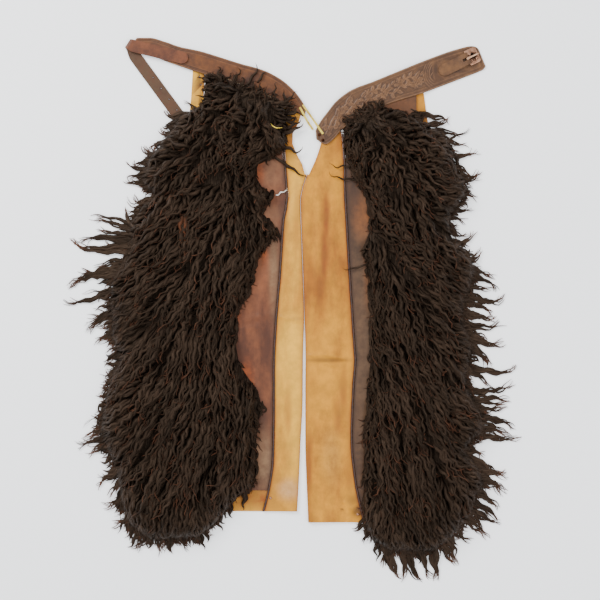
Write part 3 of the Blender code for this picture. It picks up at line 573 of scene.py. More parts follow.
        return {
            "root": root,
            "heading": heading[member] - pull + draw.normal(0, 4, total),
            "length": reach[member] * draw.uniform(0.7, 1.08, total),
            "bend": turn[member] + draw.normal(0, 16, total),
            "hook": draw.normal(0, 40, total),
            "radius": self.lock_radius * draw.uniform(0.55, 1.15, total),
            "wave": draw.uniform(1.8, 4.8, total),
            "pitch": draw.uniform(20, 38, total),
            "phase": draw.uniform(0, 2 * math.pi, total),
            "lift": lift[member] + draw.normal(0, 2.0, total),
            "shade": np.clip(shade[member] + draw.normal(0, 0.16, total), 0, 1),
            "over": np.zeros(total),
        }

    def edge_course(self) -> dict[str, np.ndarray]:
        """Give each lock of the outer and lower edge its course, drawn together in tufts.

        Returns:
            The same arrays as clumps.
        """
        draw = self.random
        table = np.array(self.tufts, dtype=float)
        sizes = np.round(table[:, 4] / self.lock_pitch).astype(int)
        member = np.repeat(np.arange(len(table)), np.maximum(sizes, 1))
        count = len(member)
        root, tip, breadth = table[member, 0:2], table[member, 2:4], table[member, 4, None]
        forward = tip - root
        forward /= np.linalg.norm(forward, axis=1, keepdims=True)
        aside = np.stack([-forward[:, 1], forward[:, 0]], 1)
        spread = draw.uniform(-0.5, 0.5, (count, 1))
        root = root + aside * spread * breadth - forward * draw.uniform(18, 52, (count, 1))
        tip = tip + aside * (0.1 * breadth * spread + draw.normal(0, 1.6, (count, 1)))
        tip -= forward * draw.uniform(0.0, 0.8, (count, 1)) * np.minimum(breadth, 22)
        run = tip - root
        own = draw.uniform(0, 2 * math.pi, len(table))
        return {
            "root": root,
            "heading": np.degrees(np.arctan2(run[:, 1], run[:, 0])),
            "length": np.linalg.norm(run, axis=1),
            "bend": draw.normal(0, 8, len(table))[member] + draw.normal(0, 7, count),
            "hook": table[member, 5] + draw.normal(0, 14, count),
            "radius": self.lock_radius * draw.uniform(0.6, 1.05, count) * np.clip(breadth[:, 0] / 14, 0.3, 1),
            "wave": draw.uniform(2.8, 5.0, len(table))[member] * draw.uniform(0.8, 1.15, count),
            "pitch": draw.uniform(32, 50, len(table))[member],
            "phase": own[member] + draw.normal(0, 0.35, count),
            "lift": draw.normal(0.0, 1.0, count),
            "shade": np.clip(draw.uniform(0.25, 0.9, len(table))[member] + draw.normal(0, 0.15, count), 0, 1),
            "over": np.zeros(count),
        }

    def rim_course(self) -> dict[str, np.ndarray]:
        """Give the short locks along the fleece's edges, over the mat's rim, their courses."""
        draw = self.random
        inner = draw.uniform(0, 1, self.rim_count) < 0.6
        t = draw.uniform(0.0, 1.0, self.rim_count)
        s = np.where(inner, draw.uniform(0.93, 1.0, self.rim_count), draw.uniform(0.0, 0.05, self.rim_count))
        root = self.at(s, t)
        return {
            "root": root,
            "heading": self.flow(s, t) + draw.normal(0, 26, self.rim_count),
            "length": draw.uniform(22, 46, self.rim_count),
            "bend": draw.normal(0, 36, self.rim_count),
            "hook": draw.normal(0, 60, self.rim_count),
            "radius": self.lock_radius * draw.uniform(0.4, 0.8, self.rim_count),
            "wave": draw.uniform(1.5, 3.4, self.rim_count),
            "pitch": draw.uniform(18, 30, self.rim_count),
            "phase": draw.uniform(0, 2 * math.pi, self.rim_count),
            "lift": draw.uniform(0.0, 3.0, self.rim_count),
            "shade": draw.uniform(0.15, 0.8, self.rim_count),
            "over": np.zeros(self.rim_count),
        }

    def crest_course(self) -> dict[str, np.ndarray]:
        """Give the short curls that spring up over the belt's lower edge their courses."""
        draw = self.random
        count = self.crest_count
        ends = self.curves[0].reshape(2, 2)
        share = draw.uniform(0.12, 1.0, count)
        root = lerp(ends[0], ends[1], share[:, None]) + draw.uniform((-8, -26), (8, 6), (count, 2))
        return {
            "root": root,
            "heading": draw.uniform(-10, 230, count),
            "length": draw.uniform(18, 46, count),
            "bend": draw.normal(0, 90, count),
            "hook": draw.normal(0, 90, count),
            "radius": self.lock_radius * draw.uniform(0.3, 0.8, count),
            "wave": draw.uniform(1.5, 4.0, count),
            "pitch": draw.uniform(16, 30, count),
            "phase": draw.uniform(0, 2 * math.pi, count),
            "lift": draw.uniform(0, 4, count),
            "shade": draw.uniform(0.1, 0.8, count),
            "over": draw.uniform(9.5, 17.0, count),
        }

    def trimmed(self, course: dict[str, np.ndarray]) -> dict[str, np.ndarray]:
        """Drop locks rooted outside the fleece and shorten those that reach too far past it."""
        rooted = self.depth(course["root"]) > -3
        course = {key: value[rooted] for key, value in course.items()}
        plan = self.spines(course)[..., :2]
        flat = plan.reshape(-1, 2)
        depth = np.concatenate([self.depth(chunk) for chunk in np.array_split(flat, len(flat) // 4000 + 1)])
        middle = self.curves.reshape(-1, 2, 2).mean(1)[::-1]
        outward = self.facing * (np.interp(flat[:, 1], middle[:, 1], middle[:, 0]) - flat[:, 0]) > 0
        outward |= flat[:, 1] < middle[0, 1]
        # Wool is clipped short beside the hip strip, under the belt
        outward &= flat[:, 1] < self.hip_y
        past = (depth < np.where(outward, -self.outer_play, -self.inner_play)).reshape(plan.shape[:2])
        kept = np.where(past.any(1), past.argmax(1) / self.segments, 1.0)
        course["length"] = course["length"] * np.maximum(kept, 0.3)
        return course

    def stray_course(self, strays: Sequence[StrayLock]) -> dict[str, np.ndarray]:
        """Give each lock of a table, laid over leather or wool, its course."""
        draw = self.random
        table = np.array(strays, dtype=float)
        count = len(table)
        run = table[:, 2:4] - table[:, 0:2]
        return {
            "root": table[:, 0:2],
            "heading": np.degrees(np.arctan2(run[:, 1], run[:, 0])),
            "length": np.linalg.norm(run, axis=1),
            "bend": draw.normal(0, 18, count),
            "hook": draw.normal(0, 50, count),
            "radius": table[:, 5],
            "wave": draw.uniform(1.5, 3.5, count),
            "pitch": draw.uniform(22, 34, count),
            "phase": draw.uniform(0, 2 * math.pi, count),
            "lift": np.zeros(count),
            "shade": draw.uniform(0.3, 0.9, count),
            "over": table[:, 4],
        }

    def spines(self, course: dict[str, np.ndarray]) -> np.ndarray:
        """Return the centre line of each lock, shape (locks, segments + 1, 3), in millimetres."""
        share = np.linspace(0, 1, self.segments + 1)
        turn = course["heading"][:, None] + course["bend"][:, None] * (share - 0.5)
        turn = np.radians(turn + course["hook"][:, None] * np.clip(share * 2.5 - 1.5, 0, 1) ** 2)
        step = course["length"][:, None] / self.segments
        plan = np.stack([np.cos(turn) * step, np.sin(turn) * step], 2)
        plan = np.cumsum(plan, axis=1) - plan[:, :1]
        plan += course["root"][:, None, :]
        run = course["length"][:, None] * share
        curl = course["wave"][:, None] * np.minimum(share * 1.8, 1.0) * (1 - 0.35 * share)
        angle = 2 * math.pi * run / course["pitch"][:, None] + course["phase"][:, None]
        aside = np.stack([-np.sin(turn), np.cos(turn)], 2)
        plan += aside * (curl * np.sin(angle))[..., None]
        flat = plan.reshape(-1, 2)
        top = np.concatenate([self.height(chunk) for chunk in np.array_split(flat, max(1, len(flat) // 4000))])
        top = top.reshape(len(plan), -1)
        layer = 0.42 + 0.58 * ease(share / 0.6)
        fade = np.clip((top - 4) / 20, 0, 1)
        high = top * layer + (course["lift"][:, None] + 0.7 * curl * np.cos(angle)) * fade
        high -= 3.0 * share ** 4 * fade
        floor = 1.2 + course["radius"][:, None] * (1 - share) * 0.8
        high = np.maximum(high, floor)
        strayed = course["over"][:, None] + course["radius"][:, None] + 0.5 * curl * (1 + np.cos(angle))
        high = np.where(course["over"][:, None] > 0, strayed, high)
        return np.concatenate([plan, high[..., None]], axis=2)

    def girth(self, course: dict[str, np.ndarray]) -> np.ndarray:
        """Return each lock's radius along its length: full, twisted, and drawn out to a point."""
        share = np.linspace(0, 1, self.segments + 1)
        body = 0.72 + 0.28 * np.sin(math.pi * np.clip(share * 1.2, 0, 1))
        taper = 1 - np.clip((share - 0.3) / 0.7, 0, 1) ** 1.8 * 0.88
        twist = 2 * math.pi * course["length"][:, None] * share / 13.0 + course["phase"][:, None]
        return course["radius"][:, None] * body * taper * (1 + 0.1 * np.sin(twist))

    def locks(self, name: str, course: dict[str, np.ndarray], sides: int) -> bpy.types.Object:
        """Join many curly locks into one mesh, each a closed tapering tube with its two maps."""
        spine = self.spines(course)
        girth = self.girth(course)
        name = f"wool_{self.side}_{name}"
        mesh, corners = tubes(name, spine, girth, sides, across=1.12, upright=0.85)
        count, rings = girth.shape
        around = np.linspace(0, 2 * math.pi, sides, endpoint=False)
        share = np.linspace(0, 1, rings)
        along = np.stack(np.broadcast_arrays(
            share[None, :, None], course["shade"][:, None, None], np.zeros(sides)), axis=-1)[..., :2]
        turns = np.sin(around) * 9.0
        strand = np.stack(np.broadcast_arrays(
            course["length"][:, None, None] * share[:, None],
            turns + (np.arange(count) * 37.0)[:, None, None]), axis=-1)
        for layer, values in (("along", along), ("strand", strand)):
            flat = values.reshape(-1, 2)[corners]
            mesh.uv_layers.new(name=layer).data.foreach_set("uv", flat.astype(np.float32).ravel())
        return link(name, mesh)

    def mat(self) -> bpy.types.Object:
        """Make the dense woolly mat under the locks from the CAD fleece, pressed low and rough."""
        bm = node_copy("fleece_" + self.side)
        bmesh.ops.subdivide_edges(bm, edges=bm.edges[:], cuts=1, use_grid_fill=True)
        seat = self.seat * MM
        spots = layout_points(bm)
        order = np.argsort(self.solid[:, 1])
        outer = np.interp(spots[:, 1], self.solid[order, 1], self.solid[order, 0])
        inner = np.interp(spots[:, 1], self.solid[order, 1], self.solid[order, 2])
        share = np.clip((inner - spots[:, 0]) / (inner - outer), 0, 1)
        draw_in = (self.dense_x(spots[:, 1]) - outer) * share
        for vertex, shift, rise in zip(bm.verts, draw_in, self.foot_lift(spots[:, 1])):
            vertex.co.x += shift * MM
            vertex.co.y += rise * MM
            if vertex.co.z > seat + 2 * MM:
                ripple = math.sin(vertex.co.x * 420) * math.sin(vertex.co.y * 390 + vertex.co.x * 130)
                vertex.co.z = seat + (vertex.co.z - seat) * 0.5 + 0.0012 * ripple
        along = bm.loops.layers.uv.new("along")
        strand = bm.loops.layers.uv.new("strand")
        for face in bm.faces:
            for loop in face.loops:
                loop[along].uv = (0.1, 0.2)
                loop[strand].uv = (loop.vert.co.y / MM, loop.vert.co.x / MM)
        return from_bmesh(f"wool_{self.side}_mat", bm, angle=80)

    def build(self, finish: bpy.types.Material, rust: bpy.types.Material) -> None:
        """Make every wool piece of this leg and dress it, in rust where the sun has bleached it."""
        fleece, edge = "fleece_" + self.side, "locks_" + self.side
        dress(self.mat(), finish, (fleece,))
        clumps = self.trimmed(self.clumps())
        for number, part in enumerate(np.array_split(np.argsort(-clumps["root"][:, 1]), 3)):
            course = {key: value[part] for key, value in clumps.items()}
            dress(self.locks(f"locks_{number + 1}", course, sides=4), finish, (fleece,))
        dress(self.locks("edge", self.edge_course(), sides=5), finish, (fleece, edge))
        dress(self.locks("rim", self.trimmed(self.rim_course()), sides=4), finish, (fleece,))
        strays = self.stray_course(self.strays)
        dress(self.locks("strays", strays, sides=5), finish, (fleece,))
        dress(self.locks("crest", self.crest_course(), sides=4), finish, (fleece,))
        if self.sunburnt:
            sunburnt = self.stray_course(self.sunburnt)
            dress(self.locks("sunburnt", sunburnt, sides=5), rust, (fleece,))


LEFT_FLEECE = Fleece(
    side="left",
    facing=1,
    seed=11,
    foot_rise=12.0,
    sunburnt=table(StrayLock, [
        (-224, 200, -229, 160, 35, 4.0), (-217, 200, -221, 158, 36, 4.0),
        (-230, 192, -231, 150, 34, 3.4), (-224, 172, -229, 130, 35, 3.6),
        (-219, 170, -222, 134, 35, 3.2),
    ]),
    rows=table(FleeceRow, [
        (-183, 493, -12, 424), (-187, 456, -12, 398), (-215, 420, -12, 374), (-265, 382, -13, 350),
        (-300, 341, -40, 328), (-322, 308, -76, 304), (-315, 283, -76, 272), (-288, 260, -36, 250),
        (-308, 236, -44, 232), (-340, 208, -72, 212), (-358, 176, -24, 174), (-378, 130, -61, 130),
        (-390, 57, -86, 57), (-397, -17, -118, -17), (-388, -101, -111, -101), (-391, -185, -63, -185),
        (-397, -269, -73, -269), (-382, -349, -75, -349), (-357, -405, -128, -401),
        (-317, -458, -164, -447), (-275, -485, -195, -479),
    ]),
    dense=table(EdgeRow, [
        (493, -179), (456, -180), (432, -185), (420, -212), (403, -237), (382, -246), (361, -262),
        (340, -279), (319, -296), (298, -302), (277, -311), (256, -292), (244, -279), (225, -304),
        (204, -319), (183, -336), (151, -332), (120, -334), (88, -357), (57, -374), (25, -376),
        (-17, -372), (-48, -372), (-69, -365), (-101, -355), (-132, -370), (-164, -382), (-206, -391),
        (-248, -395), (-290, -380), (-332, -361), (-374, -355), (-405, -351), (-437, -338),
        (-458, -326), (-479, -296),
    ]),
    tufts=table(Tuft, [
        (-200, 420, -220, 452, 10, 60), (-220, 412, -275, 407, 17, -80),
        (-225, 395, -269, 395, 17, 50), (-237, 376, -288, 368, 19, -60),
        (-250, 357, -307, 349, 19, 60), (-267, 336, -326, 330, 21, -50),
        (-279, 319, -336, 315, 21, 50), (-292, 302, -355, 300, 25, -70),
        (-292, 286, -346, 286, 19, 40), (-296, 275, -355, 265, 19, -50),
        (-275, 235, -349, 216, 19, -80), (-330, 185, -359, 220, 13, -40),
        (-323, 174, -422, 208, 27, 30), (-330, 162, -414, 168, 15, -20),
        (-317, 145, -454, 166, 21, 45), (-317, 139, -399, 139, 13, -20),
        (-309, 126, -475, 124, 27, -55), (-317, 111, -422, 105, 17, 30), (-321, 92, -477, 69, 38, 30),
        (-346, 76, -452, 82, 17, -30), (-351, 52, -477, 4, 19, -35), (-376, 46, -443, 42, 6, 20),
        (-326, 25, -439, -34, 36, 20), (-321, 4, -430, -19, 25, -20), (-326, -13, -410, -40, 21, -30),
        (-321, -27, -422, -57, 25, 30), (-330, -42, -401, -67, 25, -30),
        (-326, -69, -393, -80, 25, 20), (-321, -90, -397, -97, 19, 50),
        (-326, -105, -395, -116, 19, -30), (-326, -126, -403, -147, 29, -60),
        (-330, -147, -399, -164, 21, 60), (-334, -168, -395, -189, 25, 30),
        (-346, -185, -441, -239, 8, 20), (-338, -193, -414, -225, 29, 20),
        (-342, -216, -441, -265, 29, 20), (-346, -237, -452, -290, 29, -20),
        (-346, -269, -435, -294, 21, 25), (-346, -286, -412, -304, 19, -110),
        (-338, -315, -422, -359, 19, 40), (-342, -332, -407, -361, 17, -50),
        (-338, -332, -391, -388, 17, 30), (-330, -344, -376, -374, 17, 20),
        (-326, -365, -397, -424, 21, -40), (-321, -378, -372, -433, 21, 20),
        (-313, -405, -372, -464, 25, -40), (-309, -416, -355, -475, 21, 30),
        (-292, -433, -321, -510, 36, -30), (-288, -441, -332, -491, 17, 20),
        (-267, -441, -286, -514, 29, 40), (-254, -445, -265, -508, 19, -30),
        (-237, -433, -250, -481, 19, 30), (-216, -441, -231, -504, 27, 50),
        (-204, -428, -220, -489, 17, -20), (-191, -437, -176, -485, 19, 80),
        (-174, -416, -166, -468, 19, -30), (-162, -403, -158, -443, 15, 70),
        (-145, -395, -120, -399, 15, 40),
    ]),
    strays=table(StrayLock, [
        (-34, 354, 29, 324, 8, 3.6), (-34, 324, 33, 277, 8, 3.4), (-60, 438, 12, 436, 12, 4.0),
        (-50, 415, 14, 402, 10, 3.6), (-52, 402, 20, 408, 10, 3.2), (-24, 375, 29, 392, 9, 4.4),
        (-20, 382, 24, 398, 10, 3.8), (-70, 480, -48, 505, 9.5, 2.6), (-95, 470, -62, 520, 9.5, 2.8),
        (-130, 470, -100, 515, 9.5, 2.4), (-30, 440, 18, 432, 9.5, 2.6), (-20, 425, 28, 415, 9.5, 2.4),
    ]),
)

RIGHT_FLEECE = Fleece(
    side="right",
    facing=-1,
    seed=23,
    rows=table(FleeceRow, [
        (236, 430, 126, 385), (296, 399, 113, 355), (351, 340, 122, 319), (372, 273, 141, 273),
        (362, 222, 166, 226), (346, 172, 168, 166), (348, 140, 147, 134), (360, 98, 164, 96),
        (389, 25, 167, 25), (391, -48, 169, -48), (405, -143, 164, -143), (418, -210, 158, -214),
        (401, -286, 154, -290), (402, -357, 155, -363), (380, -426, 156, -426), (355, -481, 174, -483),
        (326, -521, 214, -521),
    ]),
    dense=table(EdgeRow, [
        (430, 198), (419, 216), (412, 250), (404, 266), (386, 292), (361, 326), (340, 332), (319, 338),
        (298, 344), (277, 357), (256, 365), (235, 355), (214, 338), (189, 326), (162, 332), (130, 359),
        (105, 376), (78, 380), (46, 370), (15, 357), (-17, 357), (-48, 368), (-80, 376), (-111, 368),
        (-143, 361), (-185, 376), (-216, 397), (-248, 401), (-269, 370), (-294, 361), (-332, 391),
        (-363, 401), (-384, 384), (-416, 378), (-447, 353), (-479, 330), (-510, 307), (-531, 292),
    ]),
    tufts=table(Tuft, [
        (258, 424, 309, 412, 6, -100), (292, 412, 338, 403, 10, -40), (284, 391, 342, 397, 15, 40),
        (296, 376, 357, 380, 21, -30), (326, 361, 384, 380, 8, 30), (313, 359, 376, 351, 13, 10),
        (309, 340, 361, 340, 19, -40), (313, 326, 399, 328, 19, 35), (309, 307, 391, 296, 17, -60),
        (313, 294, 368, 286, 17, 30), (317, 273, 412, 277, 29, 50), (326, 256, 399, 246, 25, -35),
        (313, 235, 359, 233, 17, -20), (304, 212, 386, 206, 17, 30), (304, 200, 376, 191, 15, -30),
        (313, 189, 351, 149, 15, 30), (321, 181, 376, 145, 13, 50), (334, 130, 397, 164, 15, 40),
        (326, 139, 368, 139, 17, 20), (338, 113, 412, 109, 19, 70), (346, 97, 433, 76, 25, -20),
        (359, 84, 445, 52, 23, -40), (351, 59, 428, 42, 19, 20), (359, 38, 456, 6, 21, 80),
        (355, 21, 435, 4, 19, -30), (359, 4, 433, -21, 25, 20), (363, -21, 452, -40, 19, 50),
        (359, -34, 418, -55, 13, -30), (363, -46, 452, -86, 21, 50), (355, -59, 430, -109, 40, -30),
        (388, -118, 481, -136, 19, 60), (359, -113, 428, -155, 19, -30),
        (359, -164, 475, -162, 19, 30), (368, -176, 466, -174, 13, -30),
        (363, -187, 460, -193, 13, 20), (368, -202, 458, -210, 23, 40),
        (393, -218, 479, -237, 19, -30), (359, -231, 470, -254, 42, -30),
        (380, -260, 485, -273, 15, 20), (359, -269, 412, -275, 13, 30),
        (355, -286, 410, -296, 21, -30), (384, -307, 441, -338, 10, -30),
        (363, -307, 458, -359, 36, 30), (359, -334, 458, -374, 38, -30),
        (380, -368, 443, -410, 21, -30), (372, -393, 443, -433, 23, -30),
        (384, -416, 439, -452, 19, 30), (351, -414, 422, -472, 36, -30),
        (363, -437, 403, -472, 10, 20), (342, -454, 378, -494, 19, 40),
        (326, -462, 353, -536, 23, -30), (313, -483, 338, -540, 23, 40),
        (300, -504, 309, -567, 32, -30), (279, -508, 286, -569, 21, 40),
        (246, -521, 267, -578, 29, 50), (237, -512, 244, -569, 19, -30),
        (208, -512, 218, -567, 27, 40), (195, -496, 197, -538, 21, -40),
        (183, -458, 181, -489, 19, 30), (166, -449, 160, -485, 19, -30),
        (149, -445, 132, -464, 19, -40),
    ]),
    strays=table(StrayLock, [
        (150, 310, 78, 300, 8, 2.2), (150, 275, 74, 284, 8, 2.2), (160, 100, 107, 84, 8, 2.0),
        (170, 415, 190, 452, 9.5, 2.4), (140, 395, 128, 425, 9.5, 2.4),
    ]),
)


@dataclass(frozen=True)
class LeatherFinish:
    """Worn leather: mottled, stained in places, rubbed pale in others, with painted shade in its hollows.

    The meshes carry three shares for it: stains, which also carry painted shade along folds; pale wear, which also
    carries painted highlights on the belts' ridges and edges; and painted shade in hollows, creases, holes and under
    the buckle.
    """

    light: str
    deep: str
    stain: str
    worn: str
    hollow: str
    mottle: float = 9.0
    drawn_out: float = 0.35
    roughness: float = 0.5
    grain_mm: float = 1.6
    relief_mm: float = 0.12
    fleck: float = 0.2

    def material(self, name: str) -> bpy.types.Material:
        """Return the material."""
        material, tree, shader = new_material(name)
        spot = add(tree, "ShaderNodeTexCoord").outputs["Object"]
        # Marks in worn leather run along the leg, so the mottle is drawn out along Y
        drawn = add(tree, "ShaderNodeMapping", {"Vector": spot, "Scale": (1.0, self.drawn_out, 1.0)})
        clouds = add(
            tree, "ShaderNodeTexNoise",
            {"Vector": drawn.outputs["Vector"], "Scale": self.mottle, "Detail": 6.0, "Roughness": 0.62},
        )
        colour = add(
            tree, "ShaderNodeValToRGB", {"Fac": clouds.outputs["Fac"]},
            stops=[(0.4, self.deep), (0.58, self.light)],
        ).outputs["Color"]
        patches = add(
            tree, "ShaderNodeTexNoise",
            {"Vector": spot, "Scale": self.mottle * 5, "Detail": 4.0, "Roughness": 0.6},
        )
        # Wear also brings painted highlights on the belts, stain also painted shade along folds, and the hollow tone
        # is painted shade
        for share, tone in (("worn", self.worn), ("stain", self.stain), ("hollow", self.hollow)):
            # Each share is broken up by the patches so that it has no even edge
            amount = add(tree, "ShaderNodeAttribute", attribute_name=share)
            broken = add(
                tree, "ShaderNodeMapRange",
                {"Value": patches.outputs["Fac"], "From Min": 0.25, "From Max": 0.6, "To Min": 0.45},
            )
            mixed = add(
                tree, "ShaderNodeMath", {0: amount.outputs["Fac"], 1: broken.outputs["Result"]},
                operation="MULTIPLY", use_clamp=True,
            )
            colour = add(
                tree, "ShaderNodeMix", {"Factor": mixed.outputs["Value"], "A": colour, "B": linear(tone)},
                data_type="RGBA",
            ).outputs["Result"]
        # Handling leaves finer specks and clouds over the whole skin
        fleck = add(
            tree, "ShaderNodeMapRange",
            {"Value": patches.outputs["Fac"], "From Min": 0.35, "From Max": 0.65,
             "To Min": 1 - self.fleck, "To Max": 1 + self.fleck * 0.4},
        )
        colour = add(
            tree, "ShaderNodeMix", {"Factor": 1.0, "A": colour, "B": fleck.outputs["Result"]},
            data_type="RGBA", blend_type="MULTIPLY",
        ).outputs["Result"]
        grain = add(
            tree, "ShaderNodeTexNoise",
            {"Vector": spot, "Scale": 1 / (self.grain_mm * MM), "Detail": 3.0, "Roughness": 0.7},
        )
        bump = add(
            tree, "ShaderNodeBump",
            {"Height": grain.outputs["Fac"], "Strength": 0.6, "Distance": self.relief_mm * MM * 4},
        )
        rough = add(
            tree, "ShaderNodeMapRange",
            {"Value": clouds.outputs["Fac"], "To Min": self.roughness + 0.15, "To Max": self.roughness - 0.12},
        )
        tree.links.new(colour, shader.inputs["Base Color"])
        tree.links.new(bump.outputs["Normal"], shader.inputs["Normal"])
        tree.links.new(rough.outputs["Result"], shader.inputs["Roughness"])
        shader.inputs["Specular IOR Level"].default_value = 0.35
        return material


class Blotch(NamedTuple):
    """One mark on leather: its place, its half sizes and what it brings."""

    x: float
    y: float
    half_width: float
    half_height: float
    stain: float = 0.0
    worn: float = 0.0
    # How much painted shade the mark brings
    hollow: float = 0.0


def ridges(points: np.ndarray, creases: Sequence[Crease]) -> np.ndarray:
    """Return the creases' summed height at plan points, each fading out at its ends."""
    height = np.zeros(len(points))
    for crease in creases:
        start = np.array(crease[:2])
        span = np.array(crease[2:4]) - start
        share = (points - start) @ span / (span @ span)
        gap = np.linalg.norm(points - start - np.clip(share, 0, 1)[:, None] * span, axis=1)
        fade = ease(np.minimum(share, 1 - share) * 5 + 0.5)
        height += crease.height * np.exp(-(gap / crease.breadth) ** 2) * fade
    return height


def marks(points: np.ndarray, blotches: Sequence[Blotch]) -> dict[str, np.ndarray]:
    """Return the shares that the blotches bring at plan points."""
    shares = {name: np.zeros(len(points)) for name in ("stain", "worn", "hollow")}
    for blotch in blotches:
        away = ((points[:, 0] - blotch.x) / blotch.half_width) ** 2
        away += ((points[:, 1] - blotch.y) / blotch.half_height) ** 2
        cover = np.exp(-(away ** 1.5))
        for name in shares:
            shares[name] = np.maximum(shares[name], getattr(blotch, name) * cover)
    return shares


def ripple(points: np.ndarray, long_wave: float, short_wave: float) -> np.ndarray:
    """Return a soft uneven swell between about -1 and 1 at plan points."""
    x, y = points[:, 0], points[:, 1]
    swell = np.sin(2 * math.pi * (x + 0.3 * y) / long_wave) * np.cos(2 * math.pi * y / (1.7 * long_wave))
    swell += 0.5 * np.sin(2 * math.pi * x / short_wave + 0.02 * y) * np.sin(2 * math.pi * y / (3 * short_wave))
    return swell / 1.5


@dataclass(frozen=True)
class Panel:
    """What sets one kind of leg panel apart; its lengths are in millimetres."""

    node: str
    piece: str
    slot: str
    longest_edge: float
    split_above: float
    swell: float
    waves: tuple[float, float]
    settle: float
    seam_share: str
    seam_tone: float
    seam_reach: float
    folded: bool = False


TAN = Panel(
    node="leg_", piece="tan_", slot="tan_leather", longest_edge=5.5, split_above=2.4, swell=0.45,
    waves=(130, 34), settle=9, seam_share="stain", seam_tone=0.95, seam_reach=3.5, folded=True,
)
# The hide's seam band is painted shade beside the raised welt
HIDE = Panel(
    node="hide_", piece="worn_hide_", slot="brown_hide", longest_edge=7.0, split_above=-1.0, swell=0.35,
    waves=(90, 26), settle=7, seam_share="hollow", seam_tone=0.7, seam_reach=3,
)


@dataclass
class Sheet:
    """One flat leather panel of a leg, with the creases and marks that wear has left, and painted shade in its
    hollows and along its fold.
    """

    side: str
    facing: int
    panel: Panel
    creases: Sequence[Crease]
    blotches: Sequence[Blotch]
    flat: tuple[float, float]
    area: float
    welt_half: float = 2.6
    fold_tone: float = 0.75
    fold_reach: float = 5.0

    def build(self, finish: bpy.types.Material) -> None:
        """Dress the panel: creased, worn, darker along its seam (stained on tan, painted shade on hide) and along
        its inner fold (painted shade).
        """
        panel = self.panel
        bm = node_copy(panel.node + self.side)
        refine(bm, panel.longest_edge, above=panel.split_above)
        points = layout_points(bm)
        plan = points[:, :2]
        rows, seam = seam_line(self.side)
        aside = self.facing * (np.interp(plan[:, 1], rows, seam) - plan[:, 0])
        from_seam = (np.abs(aside) if panel.folded else aside) - self.welt_half
        rise = ridges(plan, self.creases) + panel.swell * (1 + ripple(plan, *panel.waves))
        rise *= ease(from_seam / panel.settle)
        shares = marks(plan, self.blotches)
        # Tan is stained along its seam; hide gets painted shade there, beside the raised welt
        edge = panel.seam_tone * np.exp(-np.maximum(from_seam, 0) / panel.seam_reach)
        shares[panel.seam_share] = np.maximum(shares[panel.seam_share], edge)
        if panel.folded:
            # Only the front layer is creased, because the back lies on the ground
            rise *= points[:, 2] > panel.split_above
            # The inner fold is darkened as painted shade where the leather turns under; the stain share carries it
            fold = self.fold_tone * np.exp(-self.inner_gap(plan) / self.fold_reach)
            shares["stain"] = np.maximum(shares["stain"], fold)
        for vertex, lift in zip(bm.verts, rise):
            vertex.co.z += lift * MM
        piece = from_bmesh(panel.piece + self.side, bm)
        write_shares(piece.data, shares)
        dress(piece, finish, (panel.node + self.side,))

    def inner_gap(self, plan: np.ndarray, band: float = 12.0) -> np.ndarray:
        """Return each plan point's distance from the leg's inner fold, found in bands."""
        reach = self.facing * plan[:, 0]
        rows = np.round(plan[:, 1] / band)
        edge = {row: reach[rows == row].max() for row in np.unique(rows)}
        return np.maximum(np.array([edge[row] for row in rows]) - reach, 0)


class Tooling(Enum):
    """How a belt half's face is finished."""

    PLAIN = "border lines only"
    CARVED = "leaves and flowers between border lines"


